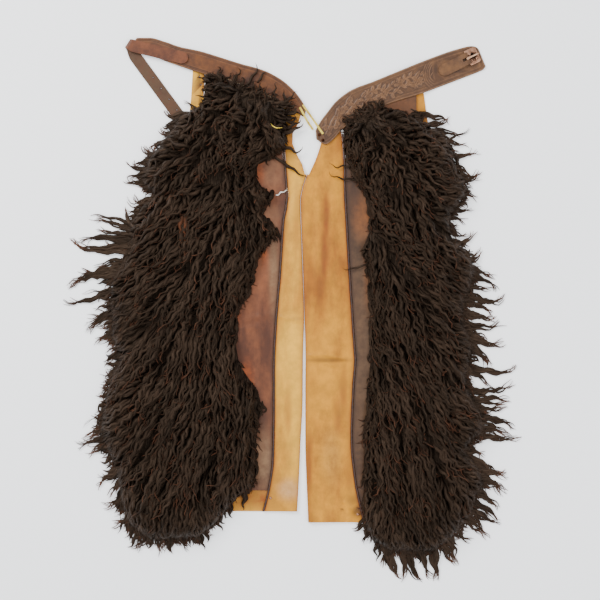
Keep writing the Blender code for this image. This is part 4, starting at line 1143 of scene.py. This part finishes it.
@dataclass
class BeltHalf:
    """One shaped belt half, slabbed from its table, with border lines and carving."""

    name: str
    node: str
    rows: Sequence[BeltRow]
    seat: Sequence[tuple[float, float]]
    tooling: Tooling
    gauge: float = 3.8
    along_steps: int = 240
    across_steps: int = 46
    rounding: float = 1.6
    border: float = 4.2
    border_gap: float = 2.4
    # How strongly the painted shade and painted highlights of the tooling show
    contrast: float = 0.6
    panel: tuple[float, float] = (14.0, 262.0)
    stem_wave: float = 70.0
    # Painted shadows that the pieces lying over the belt cast on it
    blotches: Sequence[Blotch] = ()

    def __post_init__(self) -> None:
        """Lay the belt's grid in the plan and in its own coordinates."""
        lines = resampled(self.rows, self.along_steps)
        share = np.linspace(0, 1, self.across_steps + 1)
        self.plan = lerp(lines[:, None, 2:], lines[:, None, :2], share[None, :, None])
        middle = lines.reshape(-1, 2, 2).mean(1)
        run = np.concatenate([[0], np.cumsum(np.linalg.norm(np.diff(middle, axis=0), axis=1))])
        width = np.linalg.norm(lines[:, :2] - lines[:, 2:], axis=1)
        self.along = np.broadcast_to(run[:, None], self.plan.shape[:2])
        self.across = (share[None] - 0.5) * width[:, None]
        self.rim = np.minimum(width[:, None] / 2 - np.abs(self.across), np.minimum(self.along, run[-1] - self.along))

    def leaf(self, u: float, v: float, turn: float, length: float, width: float) -> np.ndarray:
        """Return the relief of one carved leaf in millimetres, and -9 away from it."""
        angle = math.radians(turn)
        x, y = self.along - u, self.across - v
        a = (x * math.cos(angle) + y * math.sin(angle)) / length
        b = np.abs(-x * math.sin(angle) + y * math.cos(angle))
        half = width * np.sin(math.pi * np.clip(a, 0, 1)) ** 0.8 * (1.15 - 0.5 * np.clip(a, 0, 1))
        half *= 1 + 0.12 * np.sin(2 * math.pi * a * 6)
        inside = (a > 0) & (a < 1) & (b < half)
        dome = 0.55 * np.sqrt(np.clip(1 - (b / np.maximum(half, 0.1)) ** 2, 0, 1))
        vein = 0.45 * np.exp(-(b / 0.55) ** 2)
        ribs = 0.16 * np.sin(2 * math.pi * (a * length - b * 1.1) / 3.0)
        return np.where(inside, dome - vein + ribs * (b > 0.8), -9.0)

    def flower(self, u: float, v: float, radius: float, petals: int = 6) -> np.ndarray:
        """Return the relief of one carved flower in millimetres, and -9 away from it."""
        x, y = self.along - u, self.across - v
        away = np.hypot(x, y)
        turn = np.arctan2(y, x)
        lobe = np.abs(np.cos(petals / 2 * turn))
        edge = radius * (0.68 + 0.32 * lobe)
        petal = 0.6 * np.sqrt(np.clip(1 - (away / edge) ** 2, 0, 1)) + 0.25 * lobe - 0.25
        petal -= 0.3 * np.exp(-((away - radius * 0.62) / 0.7) ** 2)
        boss = 0.7 * np.sqrt(np.clip(1 - (away / (radius * 0.28)) ** 2, 0, 1))
        return np.where(away < edge, np.where(away < radius * 0.3, boss, petal), -9.0)

    def carving(self) -> np.ndarray:
        """Return the carved face's relief: a waving stem with leaves and flowers on sunk ground."""
        wave = 2 * math.pi / self.stem_wave
        amplitude = 10.5
        start, end = self.panel
        ground = -0.42 + 0.1 * np.sin(self.along * 2.9) * np.sin(self.across * 2.9)
        gap = np.abs(self.across - amplitude * np.sin(wave * self.along))
        stem = np.where(gap < 1.8, 0.35 * np.sqrt(np.clip(1 - (gap / 1.8) ** 2, 0, 1)), -9.0)
        relief = np.maximum(ground, stem)
        for number, u in enumerate(np.arange(start + 6, end - 6, 6.0)):
            side = 1 if number % 2 else -1
            v = amplitude * math.sin(wave * u)
            reach = 15 + 5 * math.sin(1.9 * number)
            relief = np.maximum(relief, self.leaf(u, v, side * (58 + 22 * math.sin(number)), reach, 4.4))
            relief = np.maximum(relief, self.leaf(u, -0.6 * v, 40 * math.sin(2.3 * number), 14, 3.6))
        for crest in range(1, int((end - start) / self.stem_wave * 2) + 1):
            u = start + (crest - 0.5) * self.stem_wave / 2
            v = -10.5 * math.copysign(1, math.sin(wave * u))
            relief = np.maximum(relief, self.flower(u, v, 7.5))
        for ring in range(4):
            # Bowed lines close the carving off where the chape begins
            bow = np.hypot(self.along - end - 34, self.across) - 22 - 4.2 * ring
            relief = np.where((np.abs(bow) < 2.1) & (self.along < end + 34), 0.25 * np.cos(bow * 1.5), relief)
        edge = ease((self.along - start) / 5) * ease((end + 22 - self.along) / 5)
        edge *= ease((self.rim - self.border - self.border_gap - 1.4) / 1.2)
        return relief * edge

    def face(self) -> np.ndarray:
        """Return the whole face's relief in millimetres."""
        relief = -self.rounding * (1 - np.sqrt(1 - np.clip(1 - self.rim / self.rounding, 0, 1) ** 2))
        for inset in (self.border, self.border + self.border_gap):
            relief = relief - 0.55 * np.exp(-((self.rim - inset) / 0.65) ** 2)
        if self.tooling is Tooling.CARVED:
            relief = relief + self.carving()
        return relief

    def build(self, finish: bpy.types.Material) -> None:
        """Make the belt half as a closed slab and write its painted shade and painted highlights."""
        relief = self.face()
        seat = np.vectorize(through(self.seat))(self.plan[..., 0])
        top = np.dstack([self.plan, seat + self.gauge + relief])
        low = np.dstack([self.plan, seat])
        bm = bmesh.new()
        sheets = [
            [[bm.verts.new(point) for point in line] for line in place(layer)]
            for layer in (top, low)
        ]
        for upper in (True, False):
            grid = sheets[0] if upper else sheets[1]
            for here, ahead in zip(grid, grid[1:]):
                for n in range(self.across_steps):
                    bm.faces.new((here[n], ahead[n], ahead[n + 1], here[n + 1]))
        rims = [edge for edge in bm.edges if edge.is_boundary]
        bmesh.ops.bridge_loops(bm, edges=rims)
        bmesh.ops.recalc_face_normals(bm, faces=bm.faces[:])
        belt = from_bmesh(self.name, bm, angle=60)
        size = relief.size
        hollow = np.zeros(2 * size)
        worn = np.zeros(2 * size)
        slope = relief - (np.roll(relief, 2, 0) + np.roll(relief, -2, 0) + np.roll(relief, 2, 1)
                          + np.roll(relief, -2, 1)) / 4
        # Painted shade: darker where the face is sunk and in the grooves of the tooling
        hollow[:size] = (np.clip(-relief, 0, 0.6) * 1.1 + np.clip(-slope * 5, 0, 1)).ravel()
        hollow[:size] *= (self.rim.ravel() > 0.9)
        # Painted highlights: paler on the ridges and along the rounded edge
        worn[:size] = (np.clip(slope * 5, 0, 1) + 0.8 * np.exp(-self.rim / 1.3)).ravel()
        # The blotches are painted shadows: they darken the face and hold back its painted highlights
        shade = marks(np.tile(self.plan.reshape(-1, 2), (2, 1)), self.blotches)
        worn = worn * self.contrast * (1 - shade["hollow"])
        hollow = np.maximum(hollow * self.contrast, shade["hollow"])
        write_shares(belt.data, {"hollow": hollow, "worn": worn, "stain": shade["stain"]})
        dress(belt, finish, (self.node,))


@dataclass(frozen=True)
class PlainFinish:
    """A metal, lace or thread with one tone and a little mottle."""

    colour: str
    shade: str
    roughness: float
    metallic: float = 0.0
    mottle: float = 120.0

    def material(self, name: str) -> bpy.types.Material:
        """Return the material."""
        material, tree, shader = new_material(name)
        spot = add(tree, "ShaderNodeTexCoord").outputs["Object"]
        clouds = add(
            tree, "ShaderNodeTexNoise", {"Vector": spot, "Scale": self.mottle, "Detail": 4.0},
        )
        colour = add(
            tree, "ShaderNodeValToRGB", {"Fac": clouds.outputs["Fac"]},
            stops=[(0.36, self.shade), (0.6, self.colour)],
        )
        tree.links.new(colour.outputs["Color"], shader.inputs["Base Color"])
        shader.inputs["Roughness"].default_value = self.roughness
        shader.inputs["Metallic"].default_value = self.metallic
        return material


def softened(
    node: str,
    name: str,
    width_mm: float,
    finish: bpy.types.Material,
    body: str = BODY,
) -> bpy.types.Object:
    """Dress a copy of a CAD node with its edges rounded over."""
    bm = node_copy(node)
    bmesh.ops.dissolve_limit(bm, angle_limit=math.radians(1), verts=bm.verts[:], edges=bm.edges[:])
    piece = from_bmesh(name, bm)
    bevel = piece.modifiers.new("Edges", "BEVEL")
    bevel.width = width_mm * MM
    bevel.segments = 3
    bevel.limit_method = "ANGLE"
    bevel.angle_limit = math.radians(35)
    return dress(piece, finish, (node,), body)


def stitches(
    name: str,
    route: Sequence[tuple[float, float]],
    height: float,
    finish: bpy.types.Material,
    pitch: float = 4.2,
    length: float = 2.9,
    radius: float = 0.42,
) -> bpy.types.Object:
    """Sew a row of short stitches along a plan line at a height, in millimetres."""
    line = np.array(route, dtype=float)
    run = np.concatenate([[0], np.cumsum(np.linalg.norm(np.diff(line, axis=0), axis=1))])
    starts = np.arange(pitch / 2, run[-1] - length, pitch)
    share = np.array([0.0, 0.12, 0.5, 0.88, 1.0])
    spots = starts[:, None] + share * length
    spine = np.stack([
        np.interp(spots, run, line[:, 0]),
        np.interp(spots, run, line[:, 1]),
        height + radius * np.broadcast_to(np.sin(math.pi * share), spots.shape),
    ], axis=-1)
    girth = np.broadcast_to(radius * np.array([0.35, 0.9, 1.0, 0.9, 0.35]), spots.shape)
    mesh, _ = tubes(name, spine, girth)
    return dress(link(name, mesh), finish)


def threads(
    name: str,
    route: Sequence[tuple[float, float, float]],
    radius: float,
    finish: bpy.types.Material,
) -> bpy.types.Object:
    """Lay one loose strand through plan points with heights, in millimetres."""
    points = np.array(route, dtype=float)
    keys = np.linspace(0, 1, len(points))
    share = np.linspace(0, 1, 25)
    curves = [through(list(zip(keys, column))) for column in points.T]
    spine = np.array([[curve(value) for curve in curves] for value in share])[None]
    girth = (radius * (0.55 + 0.45 * np.sin(math.pi * share)))[None]
    mesh, _ = tubes(name, spine, girth, sides=8)
    return dress(link(name, mesh), finish)


def shade_rings_in_holes(
    name: str,
    centres: Sequence[tuple[float, float]],
    height: float,
    radius: float,
    finish: bpy.types.Material,
) -> bpy.types.Object:
    """Put a dark ring inside each punched hole, at a height in millimetres, as painted shade where the hole is in
    shadow.
    """
    around = np.linspace(0, 2 * math.pi, 17)
    ring = np.stack([np.cos(around), np.sin(around), np.zeros(17)], axis=-1) * radius * 0.72
    spine = ring[None] + np.array([(x, y, height) for x, y in centres])[:, None]
    mesh, _ = tubes(name, spine, np.full(spine.shape[:2], radius * 0.34))
    return dress(link(name, mesh), finish)


def piping(side: str, finish: bpy.types.Material) -> None:
    """Make the rolled welt in the seam, a little uneven as a sewn roll is."""
    rows, seam = seam_line(side)
    y = np.linspace(rows[0], rows[-1], 260)
    x = np.interp(y, rows, seam) + 0.15 * np.sin(y / 9)
    spine = np.stack([x, y, np.full(len(y), 4.9)], axis=-1)[None]
    girth = (2.15 + 0.12 * np.sin(y / 2.3))[None]
    mesh, _ = tubes(f"piping_{side}", spine, girth, sides=10)
    dress(link(f"piping_{side}", mesh), finish, ("welt_" + side,))


LEFT_BELT = BeltHalf(
    name="belt_plain",
    node="belt_left",
    seat=[(-345, 3.4), (-300, 3.4), (-218, 5.3), (40, 5.3)],
    tooling=Tooling.PLAIN,
    rows=table(BeltRow, [
        (-323, 575, -338, 556), (-296, 575, -302, 546), (-265, 567, -271, 529), (-233, 556, -241, 518),
        (-191, 547, -206, 506), (-145, 533, -166, 493), (-107, 521, -132, 479), (-61, 508, -92, 464),
        (-23, 489, -55, 451), (8, 462, -17, 430), (26, 437, 14, 416), (32, 424, 28, 408),
    ]),
)

RIGHT_BELT = BeltHalf(
    name="belt_carved",
    node="belt_right",
    seat=[(50, 5.3), (266, 5.3), (279, 3.2), (304, 0), (410, 0)],
    tooling=Tooling.CARVED,
    rows=table(BeltRow, [
        (51.5, 381, 53, 362), (62, 400, 72, 351), (77, 420, 89, 362), (94, 441, 106, 381),
        (128, 466, 141, 405), (172, 483, 178, 425), (216, 501, 220, 441), (260, 519, 271, 457),
        (313, 540, 321, 476), (350, 552, 363, 492), (379, 558, 396, 505), (388, 556.5, 404, 509),
        (394, 551, 408.5, 516),
    ]),
    blotches=[
        # Painted shadows: dark under the buckle frame's two windows, and along the chape's lower edge and left end
        Blotch(377.5, 543.5, 9, 9, hollow=1.0),
        Blotch(384.5, 529.2, 9, 9, hollow=1.0),
        Blotch(345, 505, 36, 4, hollow=0.9),
        Blotch(304, 510, 5, 15, hollow=0.9),
    ],
)

SHEETS = [
    Sheet(
        side="left",
        facing=1,
        panel=TAN,
        flat=(0.345, 0.93),
        area=0.2655,
        creases=table(Crease, [
            (4, 366, 26, 350, 1.6, 5.0), (8, 338, 28, 322, 1.2, 4.5), (-29, -8, 22, -21, 1.9, 3.8),
            (4, 240, 2, 120, 1.0, 7.0), (-16, 90, -18, -60, 0.9, 8.0),
        ]),
        blotches=[
            Blotch(4, 380, 22, 46, stain=0.95),
            Blotch(12, 190, 8, 80, stain=0.45),
            Blotch(-6, -205, 8, 70, stain=0.45),
            Blotch(-6, -290, 14, 50, stain=0.3),
            Blotch(-2, -372, 26, 22, worn=0.75),
            Blotch(-90, -400, 40, 26, stain=0.45),
            # Painted shade along the wrinkle across the leg
            Blotch(10, -14, 14, 5, hollow=0.3),
            # Painted shade in the three punched hip holes
            Blotch(-192, 494, 3, 3, hollow=1.0),
            Blotch(-189, 477, 4, 4, hollow=1.0),
            Blotch(-191, 437, 3, 3, hollow=1.0),
        ],
    ),
    Sheet(
        side="right",
        facing=-1,
        panel=TAN,
        flat=(0.375, 0.915),
        area=0.308,
        creases=table(Crease, [
            (60, 262, 56, 40, 1.7, 8.0), (90, 262, 84, 60, 1.5, 8.0), (38, -91, 76, -89, 2.6, 4.2),
            (74, -89, 116, -98, 2.8, 4.2), (70, -109, 100, -113, 1.2, 3.6),
            (60, 333, 100, 322, 1.0, 6.0), (104, -150, 92, -240, 1.2, 9.0),
            (112, -396, 134, -420, 2.4, 4.5),
        ]),
        blotches=[
            Blotch(74, 205, 7, 48, stain=0.95),
            Blotch(69, 120, 7, 60, stain=0.8),
            Blotch(62, 40, 9, 50, stain=0.4),
            # Painted shade in the hollow under the creases across the leg
            Blotch(76, -101, 42, 4.5, hollow=0.75),
            Blotch(110, -165, 9, 48, stain=0.6),
            Blotch(98, -215, 10, 40, stain=0.5),
            Blotch(37, -330, 7, 80, stain=0.75),
            Blotch(124, -352, 12, 26, stain=0.5),
            # Painted shade by the crease near the hem, and around the hem rivet
            Blotch(129, -394, 13, 12, hollow=0.5),
            Blotch(140, -418, 13, 12, hollow=0.9),
            Blotch(85, -300, 22, 60, worn=0.35),
            Blotch(90, 350, 24, 30, stain=0.35),
            # Two marks near the top: painted shade, the second also a stain
            Blotch(276, 425, 10, 2.4, hollow=0.8),
            Blotch(282, 406, 8, 6, stain=1.0, hollow=0.4),
            # A dot of painted shade near the hem
            Blotch(107, -414, 2.5, 2.5, hollow=1.0),
        ],
    ),
    Sheet(
        side="left",
        facing=1,
        panel=HIDE,
        flat=(0.255, 0.905),
        area=0.1855,
        creases=table(Crease, [
            (-124, -21, -31, -2, 1.8, 3.4), (-118, -38, -60, -30, 1.2, 3.2),
            (-65, 57, -67, -69, 1.6, 3.6), (-101, -101, -82, -118, 1.6, 3.2),
            (-82, -118, -74, -155, 1.6, 3.2), (-44, -30, -40, -185, 1.5, 3.2),
            (-61, -248, -48, -340, 1.8, 3.6), (-72, -262, -62, -360, 1.8, 3.6),
            (-50, 160, -58, 60, 1.2, 4.0),
        ]),
        blotches=[
            Blotch(-40, 298, 30, 42, worn=0.35),
            Blotch(-68, 300, 12, 38, stain=0.6),
            Blotch(-52, 207, 38, 20, worn=0.4),
            Blotch(-56, 125, 7, 26, stain=0.6),
            Blotch(-121, -12, 14, 18, stain=0.7),
            Blotch(-92, -137, 13, 34, stain=0.6),
            Blotch(-36, 95, 11, 100, worn=0.85),
            Blotch(-56, -310, 24, 66, worn=0.85),
            # Painted shade in hollows between the creases
            Blotch(-70, -215, 30, 30, hollow=0.55),
            Blotch(-46, -80, 10, 90, hollow=0.25),
        ],
    ),
    Sheet(
        side="right",
        facing=-1,
        panel=HIDE,
        flat=(0.215, 0.86),
        area=0.157,
        creases=table(Crease, [
            (142, 240, 148, 150, 1.4, 3.6), (157, 110, 150, -100, 1.1, 4.0),
            (146, -120, 150, -330, 1.1, 4.0), (180, 430, 250, 446, 1.2, 5.0),
        ]),
        blotches=[
            Blotch(150, 200, 20, 46, stain=0.7),
            Blotch(150, -60, 30, 330, worn=0.7),
            # Painted shade beside the crease near the top
            Blotch(134, 240, 12, 60, hollow=0.35),
            Blotch(221, 430, 52, 32, stain=0.4),
            Blotch(158, 75, 6, 70, stain=0.4),
        ],
    ),
]


STITCH_ROWS = [
    ([(-150, 494), (-128, 486), (-98, 474)], 9.2),
    ([(-58, 458), (-44, 451), (-28, 441)], 9.2),
    ([(-9, 262), (-5, 250), (-4, 240)], 6.6),
]
STRAP_HOLES = [
    (-339 + (84 + 28 * number) * math.cos(math.radians(53.7)),
     559.5 - (84 + 28 * number) * math.sin(math.radians(53.7)))
    for number in range(4)
]
HIP_HOLES = [(-192, 494), (-189, 477), (-191, 437)]
STRING_LOOP = [(-42, 392, 30), (-37, 386, 38), (-28, 382.5, 38), (-18, 384, 30)]
TORN_SKIN = [(-32, 245, 7.0), (-27, 245, 7.6), (-21, 251, 7.4), (-16, 251, 7.6), (-9, 256, 6.8)]


@dataclass
class Fastenings:
    """The billet strap, chape, buckle, laces and rivets."""

    strap: bpy.types.Material
    tab: bpy.types.Material
    bronze: bpy.types.Material
    shadow_dark: bpy.types.Material
    bright: bpy.types.Material
    lace: bpy.types.Material

    def build(self) -> None:
        """Dress every fastening."""
        strap = softened("billet_strap", "strap", 0.7, self.strap)
        points = np.array([vertex.co for vertex in strap.data.vertices]) / MM
        dull = 0.95 * (points[:, 2] < 3.4)
        write_shares(strap.data, {"worn": dull, "stain": np.zeros(len(points)), "hollow": np.zeros(len(points))})
        softened("chape", "chape_tab", 0.6, self.tab)
        frame_piece = softened("buckle_frame", "buckle_rounded", 0.3, self.bronze, "frame")
        rounded = frame_piece.modifiers.new("Round", "SUBSURF")
        rounded.levels = rounded.render_levels = 1
        softened("buckle_tongue", "tongue_worn", 0.35, self.bright, "tongue")
        for node in ("thong_upper", "thong_lower"):
            softened(node, "lace_" + node.split("_")[1], 0.35, self.lace)
        for place_name in ("nose_upper", "nose_lower", "hem_left", "hem_right"):
            # The nose rivets are coloured dark as painted shadow, for the shade that falls on and beside their domed
            # heads
            metal = self.shadow_dark if place_name.startswith("nose") else self.bronze
            softened("rivet_" + place_name, "rivet_head_" + place_name, 0.5, metal)


@dataclass(frozen=True)
class FloorFinish:
    """Matt white paper: an even pale sweep."""

    colour: str = "#fbfcfd"
    glow: float = 0.4

    def material(self) -> bpy.types.Material:
        """Return the floor's material."""
        material, tree, shader = new_material("paper_sweep")
        shader.inputs["Base Color"].default_value = linear(self.colour)
        shader.inputs["Roughness"].default_value = 0.95
        # The sheet glows a little, as paper on a light table does
        shader.inputs["Emission Color"].default_value = linear(self.colour)
        shader.inputs["Emission Strength"].default_value = self.glow
        return material


@dataclass
class Studio:
    """A pale floor, soft lamps and a camera straight over the chaps."""

    frame_width: float = 1.26
    height: float = 3.4
    centre_plan: tuple[float, float] = (18.9, 25.2)

    def build(self) -> None:
        """Make the floor, the lamps, the sky light and the camera."""
        bm = bmesh.new()
        bmesh.ops.create_grid(bm, x_segments=1, y_segments=1, size=4.0)
        floor = from_bmesh("floor", bm)
        floor.data.materials.append(FloorFinish().material())
        for name, spot, size, power in (
            ("key", (-2.2, 2.0, 2.4), 1.6, 150),
            ("fill", (2.1, -0.6, 2.8), 2.6, 50),
        ):
            lamp = bpy.data.lights.new(name, "AREA")
            lamp.size = size
            lamp.energy = power
            light = bpy.data.objects.new(name, lamp)
            light.location = spot
            light.rotation_euler = (-Vector(spot)).to_track_quat("-Z", "Y").to_euler()
            bpy.context.scene.collection.objects.link(light)
        world = bpy.data.worlds.new("sky")
        world.use_nodes = True
        world.node_tree.nodes["Background"].inputs["Color"].default_value = linear("#f4f6fa")
        world.node_tree.nodes["Background"].inputs["Strength"].default_value = 1.38
        bpy.context.scene.world = world
        camera = bpy.data.cameras.new("camera")
        camera.sensor_width = 36.0
        camera.lens = camera.sensor_width * self.height / self.frame_width
        view = bpy.data.objects.new("camera", camera)
        spot = Vector((*self.centre_plan, 0.0)) * MM + SHIFT
        view.location = (spot.x, spot.y, self.height)
        bpy.context.scene.collection.objects.link(view)
        bpy.context.scene.camera = view


SADDLE = {"mottle": 22.0, "drawn_out": 1.0, "roughness": 0.42}
# The colours are light, deep, stain, wear and hollow tones: the last is painted shade, the stain tone also paints
# shade along folds, and the wear tone also paints highlights on the belts' ridges and edges
LEATHERS = {
    "pale_golden_leather": LeatherFinish("#e0a52c", "#bd7f18", "#874004", "#c09468", "#4a2706"),
    "deep_golden_leather": LeatherFinish("#ca870a", "#9a5a03", "#7a3802", "#c8963e", "#3c1f04"),
    "reddish_hide": LeatherFinish("#7a4526", "#502914", "#a04a10", "#785c40", "#22100a", mottle=14.0),
    "dull_brown_hide": LeatherFinish("#52341d", "#372011", "#80481a", "#5c432c", "#22100a", mottle=14.0),
    "oiled_saddle_leather": LeatherFinish("#623714", "#42210a", "#3a1b0a", "#805838", "#1f0d04", **SADDLE),
    "carved_saddle_leather": LeatherFinish("#664426", "#4c301a", "#3a1b0a", "#7d5a3e", "#382213", **SADDLE),
    "dulled_strap_leather": LeatherFinish(
        "#683719", "#48220c", "#3a1b0a", "#46301a", "#251006", **{**SADDLE, "roughness": 0.5},
    ),
}
PLAIN_FINISHES = {
    "dark_welt": PlainFinish("#40200f", "#281208", 0.5),
    "dull_bronze": PlainFinish("#b58a70", "#946850", 0.34, metallic=1.0),
    # Dark bronze as painted shadow, for the nose rivets
    "shadow_dark_bronze": PlainFinish("#4a2818", "#1c0c06", 0.5, metallic=1.0),
    "bright_worn_bronze": PlainFinish("#e6bfa0", "#c8926c", 0.22, metallic=1.0),
    "pale_lace": PlainFinish("#d8be44", "#a8882a", 0.6),
    "waxed_thread": PlainFinish("#d9c9a0", "#a8946a", 0.7),
    "torn_raw_skin": PlainFinish("#e6e2da", "#b9b0a2", 0.8),
}


def main() -> None:
    """Build and dress every piece."""
    logging.basicConfig(level=logging.INFO, format="%(name)s: %(message)s")
    Studio().build()
    leather = {name: finish.material(name) for name, finish in LEATHERS.items()}
    plain = {name: finish.material(name) for name, finish in PLAIN_FINISHES.items()}
    skins = ("pale_golden_leather", "deep_golden_leather", "reddish_hide", "dull_brown_hide")
    for sheet, skin in zip(SHEETS, skins):
        sheet.build(leather[skin])
        if sheet.panel is TAN:
            piping(sheet.side, plain["dark_welt"])
    LEFT_BELT.build(leather["oiled_saddle_leather"])
    RIGHT_BELT.build(leather["carved_saddle_leather"])
    Fastenings(
        strap=leather["dulled_strap_leather"],
        tab=leather["carved_saddle_leather"],
        bronze=plain["dull_bronze"],
        shadow_dark=plain["shadow_dark_bronze"],
        bright=plain["bright_worn_bronze"],
        lace=plain["pale_lace"],
    ).build()
    for number, (route, height) in enumerate(STITCH_ROWS):
        stitches(f"stitches_{number + 1}", route, height, plain["waxed_thread"])
    # Dark rings in the punched holes are painted shade, in the welt's dark colour
    shade_rings_in_holes("strap_holes", STRAP_HOLES, 2.2, 2.0, plain["dark_welt"])
    shade_rings_in_holes("hip_holes", HIP_HOLES, 1.4, 1.7, plain["dark_welt"])
    threads("string_loop", STRING_LOOP, 1.1, plain["pale_lace"])
    threads("torn_skin", TORN_SKIN, 1.5, plain["torn_raw_skin"])
    wool = WoolFinish().material("curly_wool")
    rust = WoolFinish(
        root="#1c0a04", middle="#3d2012", tip="#4a281a", streak="#644a38",
    ).material("sunburnt_wool")
    for fleece in (LEFT_FLEECE, RIGHT_FLEECE):
        fleece.build(wool, rust)


if __name__ == "__main__":
    main()
